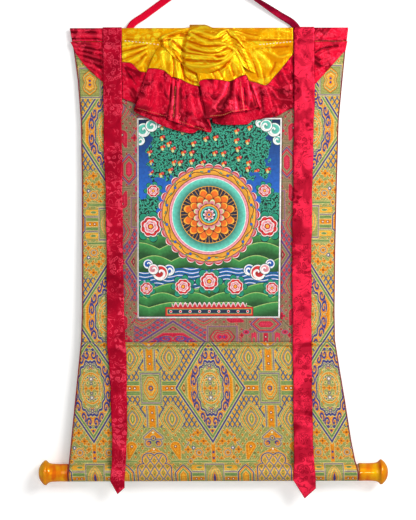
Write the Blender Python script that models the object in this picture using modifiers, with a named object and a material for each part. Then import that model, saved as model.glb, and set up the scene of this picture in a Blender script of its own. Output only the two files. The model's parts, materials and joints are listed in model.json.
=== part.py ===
"""Thangka scroll painting with its roller, hanging on a nail by its tape.

Metres, +Z up. The painted face looks towards -Y and the wall is behind, towards +Y. The origin is
the underside of the tape where the nail carries it, so all the rest hangs below zero.
Places in the tables are in millimetres. Depth is how far a piece lies in front of the mount's cloth.
"""

import math

import bmesh
import bpy
from mathutils import Vector

MM = 0.001
SEAM_GAP = 0.0003            # between pieces that are sewn or laid against each other

# ---- Driving sizes ----
BROCADE_THICKNESS = 0.0015
CANVAS_THICKNESS = 0.0012
SILK_THICKNESS = 0.0012
RIBBON_THICKNESS = 0.0015
TAPE_THICKNESS = 0.0012
TAPE_WIDTH = 0.016
BINDING_WIDTH = 0.0025
BINDING_THICKNESS = 0.0018

PAINTING_TOP = -0.3404
PAINTING_BOTTOM = -0.8004
PAINTING_LEFT = -0.1685
PAINTING_RIGHT_TOP = 0.1650
PAINTING_RIGHT_BOTTOM = 0.1585
BORDER_WIDTH = 0.0552

CLOTH_TOP = -0.1350
HEADING_TOP = -0.1322
HEADING_BOTTOM = -0.1632
HEADING_FOLD_RADIUS = 0.00175
JOIN_Z = PAINTING_BOTTOM - BORDER_WIDTH     # seam between the bottom panel and all above it
SLEEVE_SEAM_Z = -1.1270

WALL_Y = 0.0115              # the wall just behind the tape, which the knobs' rims rest against
ROD_DIAMETER = 0.036
KNOB_RIM_RADIUS = 0.0286
ROD_AXIS_Y = WALL_Y - KNOB_RIM_RADIUS
ROD_AXIS_Z = -1.1528
ROD_SOCKET_DEPTH = 0.040
SLEEVE_LEFT = -0.3268
SLEEVE_RIGHT = 0.3365
SLEEVE_RADIUS = ROD_DIAMETER / 2 + 2 * SEAM_GAP + BROCADE_THICKNESS / 2

CLOTH_TOP_Y = 0.0050         # the mount leans out from its top towards the roller
WAVE_HEIGHT = 0.0012
WAVE_LENGTH = 0.31           # of the slow waves across the cloth
WAVE_PHASE = 0.6
SLANT_LENGTH = 0.19          # of the smaller slanting waves, across and down
SLANT_FALL = 0.46
SLANT_SHARE = 0.6

TUCK_Z = -0.8606             # rounded fold along the top of the bottom panel
TUCK_HEIGHT = 0.0040
TUCK_HALF_HEIGHT = 0.0032
TUCK_GROOVE_Z = -0.8668
TUCK_GROOVE_DEPTH = 0.0010
TUCK_FULL_TO_X = 0.205
TUCK_FADE = 0.040
TUCK_LEFT_AT_EDGE = 0.2      # share of the fold's height that is left near the outer edges

# ---- How finely the sheets are divided ----
SIDE_STEPS = 22
SLEEVE_STEPS = 14
TUCK_STEPS_Z = (-0.8582, TUCK_Z, -0.8630, TUCK_GROOVE_Z, -0.8705)
FREE_TOP_Z = -0.8900         # below the tuck, the bottom panel hangs in even steps
FREE_STEPS = 9
ROUND_STEPS = 28

# ---- Outline of the mount: z, left edge, right edge (mm) ----
EDGE_ROWS = (
    (-133, -323.0, 318.6),
    (-184, -314.0, 312.0),
    (-253, -304.8, 304.8),
    (-345, -297.9, 295.6),
    (-483, -295.6, 291.0),
    (-644, -295.6, 286.4),
    (-782, -295.6, 284.0),
    (-851, -297.9, 284.6),
    (-920, -304.8, 295.6),
    (-989, -311.7, 307.0),
    (-1081, -320.8, 320.9),
    (-1127, -325.5, 330.0),
    (-1155, -326.8, 336.5),
    (-1200, -326.8, 336.5),
)

# ---- Ribbons: z, left edge, right edge, depth (mm), from the heading down to the pointed end ----
RIBBON_LEFT_ROWS = (
    (-138, -247.0, -203.5, 3.5),
    (-158, -247.0, -203.5, 3.8),
    (-172, -246.7, -203.5, 6.3),
    (-190, -246.3, -203.5, 7.2),
    (-240, -245.8, -203.3, 7.4),
    (-300, -245.4, -203.1, 7.0),
    (-330, -245.4, -203.1, 5.2),
    (-368, -245.4, -203.1, 3.6),
    (-450, -243.0, -202.6, 4.4),
    (-529, -240.3, -201.9, 4.8),
    (-650, -239.0, -200.6, 3.6),
    (-760, -238.0, -199.0, 4.6),
    (-846, -238.0, -195.5, 5.6),
    (-862, -237.0, -194.7, 6.6),
    (-882, -235.0, -193.6, 5.2),
    (-943, -231.2, -192.0, 3.8),
    (-1000, -229.0, -191.9, 4.6),
    (-1058, -226.6, -192.0, 6.0),
    (-1085, -226.6, -192.6, 8.2),
    (-1112, -226.6, -193.2, 13.5),
    (-1132, -226.6, -193.8, 19.4),
    (-1146, -227.4, -195.0, 21.3),
    (-1165, -228.8, -197.4, 21.3),
)
RIBBON_RIGHT_ROWS = (
    (-138, 192.5, 239.9, 3.5),
    (-158, 192.5, 239.9, 3.8),
    (-172, 192.5, 239.9, 6.3),
    (-190, 192.5, 239.9, 7.0),
    (-240, 192.5, 239.9, 7.2),
    (-300, 192.5, 239.8, 6.8),
    (-330, 192.2, 239.0, 5.0),
    (-368, 191.8, 237.6, 3.6),
    (-450, 190.6, 235.2, 4.0),
    (-529, 189.2, 233.6, 4.6),
    (-650, 186.6, 231.4, 3.6),
    (-760, 187.0, 230.8, 4.2),
    (-846, 187.4, 230.8, 5.4),
    (-862, 187.4, 230.8, 6.6),
    (-882, 187.4, 230.8, 5.0),
    (-943, 187.8, 231.2, 3.8),
    (-1000, 188.2, 231.8, 4.4),
    (-1058, 188.6, 232.4, 6.0),
    (-1085, 188.6, 233.0, 8.4),
    (-1112, 188.4, 234.2, 13.8),
    (-1132, 188.0, 235.6, 19.4),
    (-1146, 187.6, 236.6, 21.3),
    (-1165, 187.2, 237.4, 21.3),
)
RIBBON_LEFT_END = (-1170.5, -1199.0, -1184.5)       # z at the left edge, the point, the right edge
RIBBON_RIGHT_END = (-1168.5, -1210.0, -1187.0)
RIBBON_TAIL_Z = -0.1440      # how far a ribbon runs down behind the heading

# ---- The cover, as one strip of cloth that runs back and forth ----
# A row is a line down the cloth: x and depth at its top and at its hem, then z of its top, of the
# seam between yellow and red, and of its hem (mm). The rows follow the strip from left to right.
VEIL_SIDE_LEFT_ROWS = (
    (-322.6, -309.8, 2.5, 2.4, -163.5, -163.5, -190.0),
    (-300.0, -291.0, 2.5, 2.8, -163.5, -163.5, -215.0),
    (-275.0, -270.0, 2.5, 3.2, -163.5, -163.5, -237.0),
    (-252.0, -253.0, 2.5, 3.2, -163.5, -163.5, -251.5),
    (-227.0, -229.0, 2.5, 3.2, -163.5, -163.5, -273.0),
    (-203.8, -203.4, 2.5, 3.2, -163.5, -163.5, -294.5),
)
VEIL_FIELD_ROWS = (
    # back layer, to the right
    (-203.4, -203.0, 2.5, 3.2, -163.5, -210.5, -294.5),
    (-183.0, -183.0, 2.5, 3.4, -163.5, -212.5, -302.5),
    (-158.0, -160.0, 2.5, 3.4, -163.5, -233.0, -313.0),
    (-116.0, -121.0, 2.5, 3.4, -163.5, -237.0, -326.5),
    (-60.0, -70.0, 2.5, 3.6, -163.5, -243.0, -340.0),
    (-33.0, -24.0, 2.7, 3.8, -166.0, -247.0, -348.0),
    # middle layer, back to the left, with the longer hem that shows under the front one
    (-33.0, -24.0, 4.6, 6.6, -176.0, -247.0, -364.0),
    (-52.0, -43.0, 4.4, 6.6, -178.0, -247.0, -376.0),
    (-93.0, -98.0, 4.4, 6.6, -178.0, -243.0, -363.0),
    (-115.0, -144.0, 4.6, 7.4, -177.5, -233.0, -341.0),
    (-117.0, -173.0, 5.0, 8.4, -177.0, -226.0, -326.5),
    # left flap, to the right
    (-117.0, -173.0, 7.8, 12.8, -177.0, -226.0, -321.0),
    (-108.0, -151.0, 8.2, 13.6, -177.0, -226.5, -326.5),
    (-96.0, -123.0, 8.2, 13.2, -177.0, -230.5, -335.5),
    (-86.0, -95.5, 10.2, 15.0, -177.0, -243.5, -342.0),
    (-86.0, -95.5, 8.2, 12.2, -178.0, -244.5, -343.0),
    (-89.0, -99.5, 8.0, 11.6, -179.0, -245.5, -344.0),
    # narrow pleats
    (-89.0, -99.5, 6.4, 9.2, -180.0, -246.0, -345.0),
    (-79.0, -87.5, 7.0, 10.0, -182.0, -247.0, -348.0),
    (-72.0, -77.0, 8.8, 12.4, -184.0, -249.5, -352.0),
    (-66.0, -66.0, 7.4, 9.8, -186.0, -252.0, -355.5),
    (-56.0, -47.0, 8.0, 11.6, -190.0, -260.0, -362.0),
    (-46.0, -24.0, 8.6, 12.0, -194.0, -266.0, -369.0),
    (-37.0, 0.5, 8.8, 12.6, -196.0, -268.0, -375.0),
    (-37.0, 0.5, 11.6, 16.6, -197.0, -263.0, -362.0),
    (-41.0, -6.5, 12.0, 17.4, -198.0, -259.5, -350.0),
    # right flap, to the right
    (-41.0, -6.5, 14.4, 21.4, -198.0, -256.5, -343.5),
    (-34.0, 4.0, 14.6, 22.0, -198.0, -253.5, -342.5),
    (-20.0, 27.0, 14.6, 22.4, -198.0, -252.0, -338.8),
    (-2.0, 50.0, 14.0, 21.0, -198.0, -254.5, -330.2),
    (14.0, 67.0, 12.0, 18.0, -198.0, -257.5, -328.0),
    (24.0, 80.0, 14.0, 21.0, -196.0, -254.0, -326.0),
    (33.0, 90.5, 12.0, 18.2, -194.0, -249.0, -324.5),
    (42.0, 101.0, 14.0, 20.6, -190.0, -245.0, -322.0),
    (51.0, 110.5, 12.4, 18.0, -188.0, -242.5, -317.5),
    (51.0, 110.5, 7.4, 10.6, -188.0, -246.0, -328.0),
    # layer behind it, back to the left
    (38.0, 84.0, 6.6, 9.2, -190.0, -252.5, -356.0),
    (18.0, 45.0, 6.6, 9.0, -192.0, -255.0, -357.5),
    (-6.0, 7.0, 5.8, 8.0, -190.0, -258.0, -353.0),
    # back layer, on to the right
    (-6.0, 7.0, 2.8, 3.8, -172.0, -260.0, -343.0),
    (8.0, 30.0, 2.5, 3.6, -163.5, -261.0, -336.0),
    (40.0, 68.0, 2.5, 3.6, -163.5, -262.0, -340.5),
    (70.0, 91.0, 2.5, 3.8, -163.5, -254.0, -346.0),
    (92.0, 112.0, 2.5, 4.0, -163.5, -258.5, -344.5),
    (118.5, 130.0, 2.5, 4.0, -163.5, -265.0, -340.5),
    (148.0, 151.0, 2.5, 3.6, -163.5, -243.0, -337.5),
    (171.0, 172.5, 2.5, 3.2, -163.5, -217.0, -326.5),
    (191.5, 193.5, 2.5, 3.2, -163.5, -191.0, -316.5),
)
VEIL_SIDE_RIGHT_ROWS = (
    (191.9, 193.9, 2.5, 3.2, -163.5, -163.5, -316.0),
    (216.0, 217.0, 2.5, 3.2, -163.5, -163.5, -291.0),
    (240.0, 240.0, 2.5, 3.2, -163.5, -163.5, -265.0),
    (270.0, 268.0, 2.5, 2.8, -163.5, -163.5, -234.0),
    (298.0, 294.0, 2.5, 2.6, -163.5, -163.5, -205.0),
    (317.0, 312.0, 2.5, 2.4, -163.5, -163.5, -185.0),
)
VEIL_SPREAD = 0.8            # below 1, a pleat spreads soon below its top
VEIL_SEAM_DROP = 3 * SEAM_GAP / MM  # the seam slopes, so upright it is wider than the gap across it
TURN_REACH_TOP = 0.7         # how far a turn's round edge stands out, as a share of that at the hem
FLAT_DEPTH = 4.5             # mm: the cover's flat parts lie nearer to the mount than its pleats

# ---- The drawn-up middle of the cover ----
# Columns are folds from left to right: tip, outer roll, groove, inner roll, pit, wrap edge, crown, sag,
# pinch, slanting roll, foot. FOLD_BOTTOM is the z where each ends; a row of the other two tables is a
# level from the heading's top (0) to that end (1), with each fold's x or depth there (mm).
FOLD_BOTTOM = (-230.0, -231.5, -234.0, -236.5, -239.2, -243.8, -246.1, -236.9, -211.6, -232.3, -239.2)
FOLD_X = (
    (0.00, -47.0, -46.2, -45.2, -44.4, -43.7, -41.4, -10.4, 17.2, 35.6, 44.9, 56.4),
    (0.10, -84.0, -77.0, -69.0, -62.0, -54.1, -46.0, -8.0, 21.9, 40.3, 51.8, 65.6),
    (0.25, -117.3, -108.0, -97.0, -85.0, -62.0, -50.6, -5.8, 26.4, 44.9, 59.8, 77.1),
    (0.40, -113.9, -106.0, -97.0, -86.0, -64.0, -54.1, -3.5, 29.9, 49.5, 67.9, 86.3),
    (0.55, -102.4, -96.0, -89.0, -81.0, -66.0, -56.4, -3.5, 32.2, 52.9, 74.8, 93.2),
    (0.70, -86.3, -81.5, -77.0, -72.0, -64.4, -56.4, -1.2, 34.5, 55.2, 80.5, 98.9),
    (0.85, -67.9, -64.5, -61.5, -59.0, -56.4, -50.6, -1.2, 33.4, 56.4, 85.1, 103.5),
    (1.00, -51.8, -48.5, -46.0, -43.0, -38.0, -31.1, 1.2, 31.1, 57.5, 89.7, 107.0),
)
FOLD_DEPTH = (
    (0.00, 4.2, 5.0, 5.0, 6.0, 6.0, 8.0, 9.0, 9.0, 8.0, 6.0, 4.2),
    (0.10, 4.0, 8.5, 5.5, 8.0, 5.0, 12.0, 14.0, 13.0, 9.0, 9.0, 4.0),
    (0.25, 4.0, 11.0, 6.5, 10.5, 5.5, 16.0, 19.0, 16.0, 9.5, 12.0, 4.0),
    (0.40, 2.2, 12.0, 7.5, 12.0, 6.5, 19.0, 22.0, 19.0, 10.0, 14.0, 2.2),
    (0.55, 5.2, 13.0, 9.6, 12.5, 7.5, 20.0, 24.0, 21.0, 11.0, 15.0, 2.0),
    (0.70, 5.6, 13.0, 10.6, 12.5, 8.5, 20.0, 25.0, 22.0, 12.0, 14.0, 2.0),
    (0.85, 6.2, 12.5, 11.0, 12.5, 10.5, 18.0, 23.0, 20.0, 13.0, 12.5, 2.0),
    (1.00, 6.8, 10.5, 10.0, 10.5, 10.5, 12.5, 13.0, 13.0, 12.5, 10.0, 2.0),
)
WRAP_EDGE, WRAP_PINCH = 5, 8             # columns between which the wrap sags in long folds
SAG_FOLDS = 4.5
SAG_DROP = 0.75
SAG_FADE = 0.5               # share of the wrap's width over which the folds die out at either end
SAG_FOLD_HEIGHT = 0.0017
DRAWN_THICKNESS = 0.0015
DRAWN_LEVELS = 20
# depth and z of the rows that run up behind the heading and over it, clear of its back
DRAWN_BEHIND = ((-0.0035, -0.1450), (-0.0035, HEADING_TOP), (0.0, -0.1262))

# ---- Soft creases pressed into the flat parts of the cover ----
# x and z of one end, x and z of the other, half width, height (mm)
CREASES = (
    (-318, -172, -246, -186, 5.0, 1.3),
    (-312, -186, -248, -206, 4.5, 1.2),
    (-298, -204, -248, -222, 4.5, 1.0),
    (-284, -222, -250, -236, 4.0, 0.8),
    (-200, -182, -150, -172, 4.5, 1.2),
    (-200, -200, -145, -178, 5.0, 1.4),
    (300, -176, 244, -192, 6.0, 1.2),
    (250, -204, 292, -200, 6.0, 0.9),
    (122, -190, 130, -262, 6.0, 1.6),
    (106, -180, 122, -262, 4.0, 2.0),
    (140, -270, 186, -300, 7.0, 1.6),
)
CREASE_END = 0.12            # share of a crease's arch that is cut off at each end

# ---- Hanging tape: x, y, z of its middle line, and its twist from flat (degrees) ----
# The left end lies on the heading's back, the right one on the ribbon's tail there.
TAPE_ROWS = (
    (-186.3, 8.3, -150.0, 0),
    (-186.3, 8.3, -138.0, 0),
    (-181.0, 8.3, -125.5, 0),
    (-150.0, 8.2, -102.6, 2),
    (-103.5, 7.0, -69.0, 10),
    (-60.0, 4.4, -39.5, 34),
    (-25.0, 1.6, -15.7, 68),
    (-8.0, 0.2, -4.2, 87),
    (-1.7, 0.0, 0.1, 90),
    (0.0, 0.0, 0.6, 90),
    (1.7, 0.0, 0.1, 90),
    (8.0, 0.2, -3.9, 88),
    (25.0, 1.4, -14.6, 78),
    (60.0, 4.2, -36.9, 62),
    (110.4, 7.4, -69.0, 45),
    (160.0, 9.4, -101.8, 16),
    (194.0, 10.1, -124.6, 0),
    (201.5, 10.1, -138.0, 0),
    (201.5, 10.1, -150.0, 0),
)
TAPE_LOOK_AHEAD = 0.05       # share of a row's length over which the tape's direction is measured

# ---- Knob profile from the roller's end outwards: distance along the rod, radius (mm) ----
KNOB_PROFILE = (
    (67.5, 0.0),
    (67.0, 6.0),
    (65.0, 13.5),
    (61.0, 20.5),
    (56.5, 25.6),
    (53.0, 28.2),
    (50.5, KNOB_RIM_RADIUS / MM),
    (48.5, 27.4),
    (45.5, 24.2),
    (41.0, 21.8),
    (33.0, 20.5),
    (15.0, 20.0),
    (0.8, 20.3),
    (0.0, 19.8),
)

FINISH_COLOURS = {
    "canvas": (0.10, 0.30, 0.28),
    "border brocade": (0.32, 0.14, 0.13),
    "gold brocade": (0.46, 0.36, 0.13),
    "yellow silk": (0.83, 0.52, 0.02),
    "red damask": (0.52, 0.02, 0.05),
    "red binding": (0.42, 0.04, 0.05),
    "amber lacquer": (0.80, 0.30, 0.02),
    "wood": (0.42, 0.26, 0.13),
}
CLOTH_ROUGHNESS = 0.6
LACQUER_ROUGHNESS = 0.15


def blend(a, b, t):
    """A straight mix of a and b."""
    return a + (b - a) * t


def smooth_step(t):
    """0 below t = 0, 1 above t = 1, and a soft S between them."""
    t = min(max(t, 0.0), 1.0)
    return t * t * (3.0 - 2.0 * t)


def bump(t):
    """1 at t = 0 and 0 from t = 1 on, either side, with a round top."""
    t = min(abs(t), 1.0)
    return (1.0 - t * t) ** 2


def look_up(rows, column, key):
    """A column of a table at a key between its rows, whose first column falls or rises steadily."""
    rising = rows[-1][0] > rows[0][0]
    for upper, lower in zip(rows, rows[1:]):
        if (key <= lower[0]) == rising or lower is rows[-1]:
            t = (key - upper[0]) / (lower[0] - upper[0])
            return blend(upper[column], lower[column], min(max(t, 0.0), 1.0))
    return rows[-1][column]


def cloth_edge(side, z):
    """x of the mount's outer edge at a height; side is 1 for the left, 2 for the right."""
    return look_up(EDGE_ROWS, side, z / MM) * MM


def cloth_y(x, z):
    """y of the mount's cloth: a lean out from the heading to the roller, with slow waves between."""
    down = (HEADING_BOTTOM - z) / (HEADING_BOTTOM - SLEEVE_SEAM_Z)
    lean = blend(CLOTH_TOP_Y, ROD_AXIS_Y, min(max(down, 0.0), 1.0))
    free = math.sin(math.pi * min(max(down, 0.0), 1.0))
    across = math.sin(2 * math.pi * x / WAVE_LENGTH + WAVE_PHASE)
    slanted = math.sin(2 * math.pi * (x / SLANT_LENGTH + z / SLANT_FALL))
    return lean + WAVE_HEIGHT * free * (across + SLANT_SHARE * slanted)


def at_depth(x, z, depth):
    """A point that lies a depth in front of the mount's cloth."""
    return Vector((x, cloth_y(x, z) - depth, z))


def tuck(x, z):
    """How far the fold along the bottom panel's top stands out, and the groove below it."""
    share = blend(1.0, TUCK_LEFT_AT_EDGE, smooth_step((abs(x) - TUCK_FULL_TO_X) / TUCK_FADE))
    ridge = TUCK_HEIGHT * bump((z - TUCK_Z) / TUCK_HALF_HEIGHT)
    groove = TUCK_GROOVE_DEPTH * bump((z - TUCK_GROOVE_Z) / TUCK_HALF_HEIGHT)
    return share * (ridge - groove)


def crease(x, z):
    """Height of the soft creases at a place on the cover."""
    height = 0.0
    for x0, z0, x1, z1, half_width, rise in CREASES:
        run = Vector(((x1 - x0) * MM, (z1 - z0) * MM))
        offset = Vector((x - x0 * MM, z - z0 * MM))
        along = min(max(offset.dot(run) / run.length_squared, 0.0), 1.0)
        away = (offset - run * along).length
        arch = math.sin(math.pi * blend(CREASE_END, 1.0 - CREASE_END, along))
        height += rise * MM * arch * bump(away / (2 * half_width * MM))
    return height


def material(name):
    """A Principled material in the piece's own colour."""
    made = bpy.data.materials.get(name)
    if made:
        return made
    made = bpy.data.materials.new(name)
    made.use_nodes = True
    shader = made.node_tree.nodes["Principled BSDF"]
    glossy = name == "amber lacquer"
    shader.inputs["Base Color"].default_value = (*FINISH_COLOURS[name], 1.0)
    shader.inputs["Roughness"].default_value = LACQUER_ROUGHNESS if glossy else CLOTH_ROUGHNESS
    shader.inputs["Metallic"].default_value = 0.0
    return made


def add_object(name, mesh, finish, collection):
    """Puts a mesh into the part's collection under its node's name."""
    piece = bpy.data.objects.new(name, mesh)
    piece.data.materials.append(material(finish))
    collection.objects.link(piece)
    return piece


def add_sheet(name, columns, rows, place, thickness, finish, collection):
    """A sheet of cloth: a grid laid out by place(u, w), u across and w down, given its thickness."""
    grid = bmesh.new()
    bmesh.ops.create_grid(grid, x_segments=columns, y_segments=rows, size=1.0)
    for vertex in grid.verts:
        vertex.co = place((vertex.co.x + 1.0) / 2, (1.0 - vertex.co.y) / 2)
    mesh = bpy.data.meshes.new(name)
    grid.to_mesh(mesh)
    grid.free()
    sheet = add_object(name, mesh, finish, collection)
    shell = sheet.modifiers.new("cloth thickness", "SOLIDIFY")
    shell.thickness = thickness
    shell.offset = 0.0
    shell.use_even_offset = False
    return sheet


def add_patch(name, corners, columns, rows, thickness, finish, collection):
    """A four-sided piece of the mount: corners (x, z) top left, top right, bottom left, bottom right."""
    top_left, top_right, bottom_left, bottom_right = corners

    def place(u, w):
        x = blend(blend(top_left[0], top_right[0], u), blend(bottom_left[0], bottom_right[0], u), w)
        z = blend(blend(top_left[1], top_right[1], u), blend(bottom_left[1], bottom_right[1], u), w)
        return at_depth(x, z, 0.0)

    return add_sheet(name, columns, rows, place, thickness, finish, collection)


def border_edge_right(z):
    """x of the inner border's outer edge on the right, parallel to the painting's edge."""
    t = (z - PAINTING_TOP) / (PAINTING_BOTTOM - PAINTING_TOP)
    return blend(PAINTING_RIGHT_TOP, PAINTING_RIGHT_BOTTOM, t) + BORDER_WIDTH


def make_painting(collection):
    """The canvas and the four mitred strips round it, sewn edge to edge."""
    inset = SEAM_GAP / 2
    mitre = inset * math.sqrt(2)
    left, right_top, right_low = PAINTING_LEFT, PAINTING_RIGHT_TOP, PAINTING_RIGHT_BOTTOM
    top, low = PAINTING_TOP, PAINTING_BOTTOM
    canvas = ((left + inset, top - inset), (right_top - inset, top - inset),
              (left + inset, low + inset), (right_low - inset, low + inset))
    add_patch("painting_canvas", canvas, 8, 10, CANVAS_THICKNESS, "canvas", collection)

    out_left, out_top, out_low = left - BORDER_WIDTH, top + BORDER_WIDTH, low - BORDER_WIDTH
    out_right_top, out_right_low = border_edge_right(out_top), border_edge_right(out_low)
    long_side, short_side = mitre + inset, mitre - inset
    level_strips = {
        "border_top": ((out_left + long_side, out_top - inset), (out_right_top - long_side, out_top - inset),
                       (left + short_side, top + inset), (right_top - short_side, top + inset)),
        "border_bottom": ((left + short_side, low - inset), (right_low - short_side, low - inset),
                          (out_left + long_side, out_low + inset),
                          (out_right_low - long_side, out_low + inset)),
    }
    upright_strips = {
        "border_left": ((out_left + inset, out_top - long_side), (left - inset, top - short_side),
                        (out_left + inset, out_low + long_side), (left - inset, low + short_side)),
        "border_right": ((right_top + inset, top - short_side), (out_right_top - inset, out_top - long_side),
                         (right_low + inset, low + short_side),
                         (out_right_low - inset, out_low + long_side)),
    }
    for strips, columns, rows in ((level_strips, 8, 2), (upright_strips, 2, 12)):
        for name, corners in strips.items():
            add_patch(name, corners, columns, rows, BROCADE_THICKNESS, "border brocade", collection)


def side_heights():
    """Heights shared by a side panel and the binding sewn to it, from the heading to the join."""
    first, last = HEADING_BOTTOM - SEAM_GAP, JOIN_Z + SEAM_GAP / 2
    return [blend(first, last, step / SIDE_STEPS) for step in range(SIDE_STEPS + 1)]


def make_upper_panels(collection):
    """The gold brocade above and beside the inner border."""
    inset = SEAM_GAP / 2
    border_left = PAINTING_LEFT - BORDER_WIDTH
    border_top = PAINTING_TOP + BORDER_WIDTH
    corners = ((border_left + inset, CLOTH_TOP), (border_edge_right(CLOTH_TOP) - inset, CLOTH_TOP),
               (border_left + inset, border_top + inset),
               (border_edge_right(border_top) - inset, border_top + inset))
    add_patch("panel_top", corners, 8, 4, BROCADE_THICKNESS, "gold brocade", collection)

    heights = [CLOTH_TOP] + side_heights()

    def place_left(u, w):
        z = heights[round(w * (len(heights) - 1))]
        outer = cloth_edge(1, z) + BINDING_WIDTH + inset
        return at_depth(blend(outer, border_left - inset, u), z, 0.0)

    def place_right(u, w):
        z = heights[round(w * (len(heights) - 1))]
        outer = cloth_edge(2, z) - BINDING_WIDTH - inset
        return at_depth(blend(border_edge_right(z) + inset, outer, u), z, 0.0)

    for name, place in (("panel_left", place_left), ("panel_right", place_right)):
        add_sheet(name, 3, len(heights) - 1, place, BROCADE_THICKNESS, "gold brocade", collection)


def sleeve_points(steps):
    """(y, z) down the front of the sleeve, round the rod and up its back to the stitched seam."""
    rise = SLEEVE_SEAM_Z - ROD_AXIS_Z
    open_angle = math.acos(SLEEVE_RADIUS / rise)
    points = []
    for step in range(steps + 1):
        angle = blend(open_angle, 2 * math.pi - open_angle, step / steps)
        ahead, up = SLEEVE_RADIUS * math.sin(angle), SLEEVE_RADIUS * math.cos(angle)
        points.append((ROD_AXIS_Y - ahead, ROD_AXIS_Z + up))
    clear = BROCADE_THICKNESS + 2 * SEAM_GAP
    points.append((ROD_AXIS_Y + clear, SLEEVE_SEAM_Z - clear))
    return points


def bottom_path(stations, steps):
    """Rows of the bottom panel: (z, y or None), None where the cloth still hangs free."""
    rows = [(z, None) for z in stations]
    rows += [(z, y) for y, z in sleeve_points(steps)]
    return rows


def make_bottom(collection):
    """The bottom panel with its tuck and sleeve, and the bindings down both edges."""
    inset = SEAM_GAP / 2
    free = [blend(FREE_TOP_Z, SLEEVE_SEAM_Z, step / FREE_STEPS) for step in range(FREE_STEPS + 1)]
    heights = [JOIN_Z - inset, *TUCK_STEPS_Z, *free]
    rows = bottom_path(heights, SLEEVE_STEPS)

    def place(u, w):
        z, y = rows[round(w * (len(rows) - 1))]
        left = cloth_edge(1, z) + BINDING_WIDTH + inset
        right = cloth_edge(2, z) - BINDING_WIDTH - inset
        x = blend(left, right, u)
        if y is None:
            return at_depth(x, z, tuck(x, z))
        return Vector((x, y, z))

    add_sheet("panel_bottom", 20, len(rows) - 1, place, BROCADE_THICKNESS, "gold brocade", collection)

    edge_rows = bottom_path(side_heights() + heights, SLEEVE_STEPS)
    for name, side, inward in (("binding_left", 1, 1), ("binding_right", 2, -1)):

        def place_binding(u, w, side=side, inward=inward):
            z, y = edge_rows[round(w * (len(edge_rows) - 1))]
            edge = cloth_edge(side, z)
            across = u if inward > 0 else 1.0 - u
            x = edge + inward * BINDING_WIDTH * across
            if y is None:
                return at_depth(x, z, tuck(x, z))
            return Vector((x, y, z))

        add_sheet(name, 1, len(edge_rows) - 1, place_binding, BINDING_THICKNESS, "red binding", collection)


def over_the_top(half_depth, top, tail_z, steps):
    """(depth, z) up behind the heading and round its top; top is the highest point reached."""
    centre = top - half_depth
    points = [(-half_depth, tail_z)]
    for step in range(steps + 1):
        angle = math.pi * step / steps
        points.append((-half_depth * math.cos(angle), centre + half_depth * math.sin(angle)))
    return points


def make_heading(collection):
    """The strip folded over the top edge, in three lengths sewn end to end."""
    radius = HEADING_FOLD_RADIUS
    path = over_the_top(radius, HEADING_TOP - SILK_THICKNESS / 2, HEADING_BOTTOM, 4)
    path.append((radius, blend(path[-1][1], HEADING_BOTTOM, 0.5)))
    path.append((radius, HEADING_BOTTOM))
    seams = (None, VEIL_FIELD_ROWS[0][0] * MM, VEIL_FIELD_ROWS[-1][0] * MM, None)
    lengths = (("heading_left", 4, "red damask"), ("heading_middle", 10, "yellow silk"),
               ("heading_right", 4, "red damask"))
    for index, (name, columns, finish) in enumerate(lengths):
        start, end = seams[index], seams[index + 1]

        def place(u, w, start=start, end=end):
            depth, z = path[round(w * (len(path) - 1))]
            left = cloth_edge(1, z) if start is None else start + SEAM_GAP / 2
            right = cloth_edge(2, z) if end is None else end - SEAM_GAP / 2
            return Vector((blend(left, right, u), CLOTH_TOP_Y - depth, z))

        add_sheet(name, columns, len(path) - 1, place, SILK_THICKNESS, finish, collection)


def with_round_turns(rows):
    """The rows with one more at each turn, set out past it, so that the fold is round."""
    rounded = [rows[0]]
    for before, after in zip(rows, rows[1:]):
        if before[:2] == after[:2]:
            reach = abs(after[3] - before[3]) / 2
            side = 1 if rounded[-1][1] > rounded[-2][1] else -1
            apex = [blend(a, b, 0.5) for a, b in zip(before, after)]
            apex[0] += side * reach * TURN_REACH_TOP
            apex[1] += side * reach
            rounded.append(tuple(apex))
        rounded.append(after)
    return tuple(rounded)


def veil_place(rows, red):
    """Places the cover's red or yellow part along the lines of its table."""

    def place(u, w):
        x_top, x_hem, depth_top, depth_hem, z_top, z_seam, z_hem = rows[round(u * (len(rows) - 1))]
        from_z, to_z = (z_seam - VEIL_SEAM_DROP, z_hem) if red else (z_top, z_seam)
        z = blend(from_z, to_z, w)
        down = (z_top - z) / (z_top - z_hem)
        x = blend(x_top, x_hem, down ** VEIL_SPREAD)
        depth = blend(depth_top, depth_hem, down)
        lift = crease(x * MM, z * MM) if depth < FLAT_DEPTH else 0.0
        return at_depth(x * MM, z * MM, depth * MM + lift)

    return place


def sag_fold(column, level):
    """Height of the wrap's long folds, which hang lower in the middle and run out at the pinch."""
    t = (column - WRAP_EDGE) / (WRAP_PINCH - WRAP_EDGE)
    if not -SAG_FADE < t < 1.0:
        return 0.0
    fade = smooth_step((t + SAG_FADE) / SAG_FADE) * smooth_step((1.0 - t) / SAG_FADE)
    fade *= math.sqrt(math.sin(math.pi * level))
    wave = math.sin(2 * math.pi * (SAG_FOLDS * level - SAG_DROP * math.sin(math.pi * max(t, 0.0))))
    return SAG_FOLD_HEIGHT * fade * wave


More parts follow.
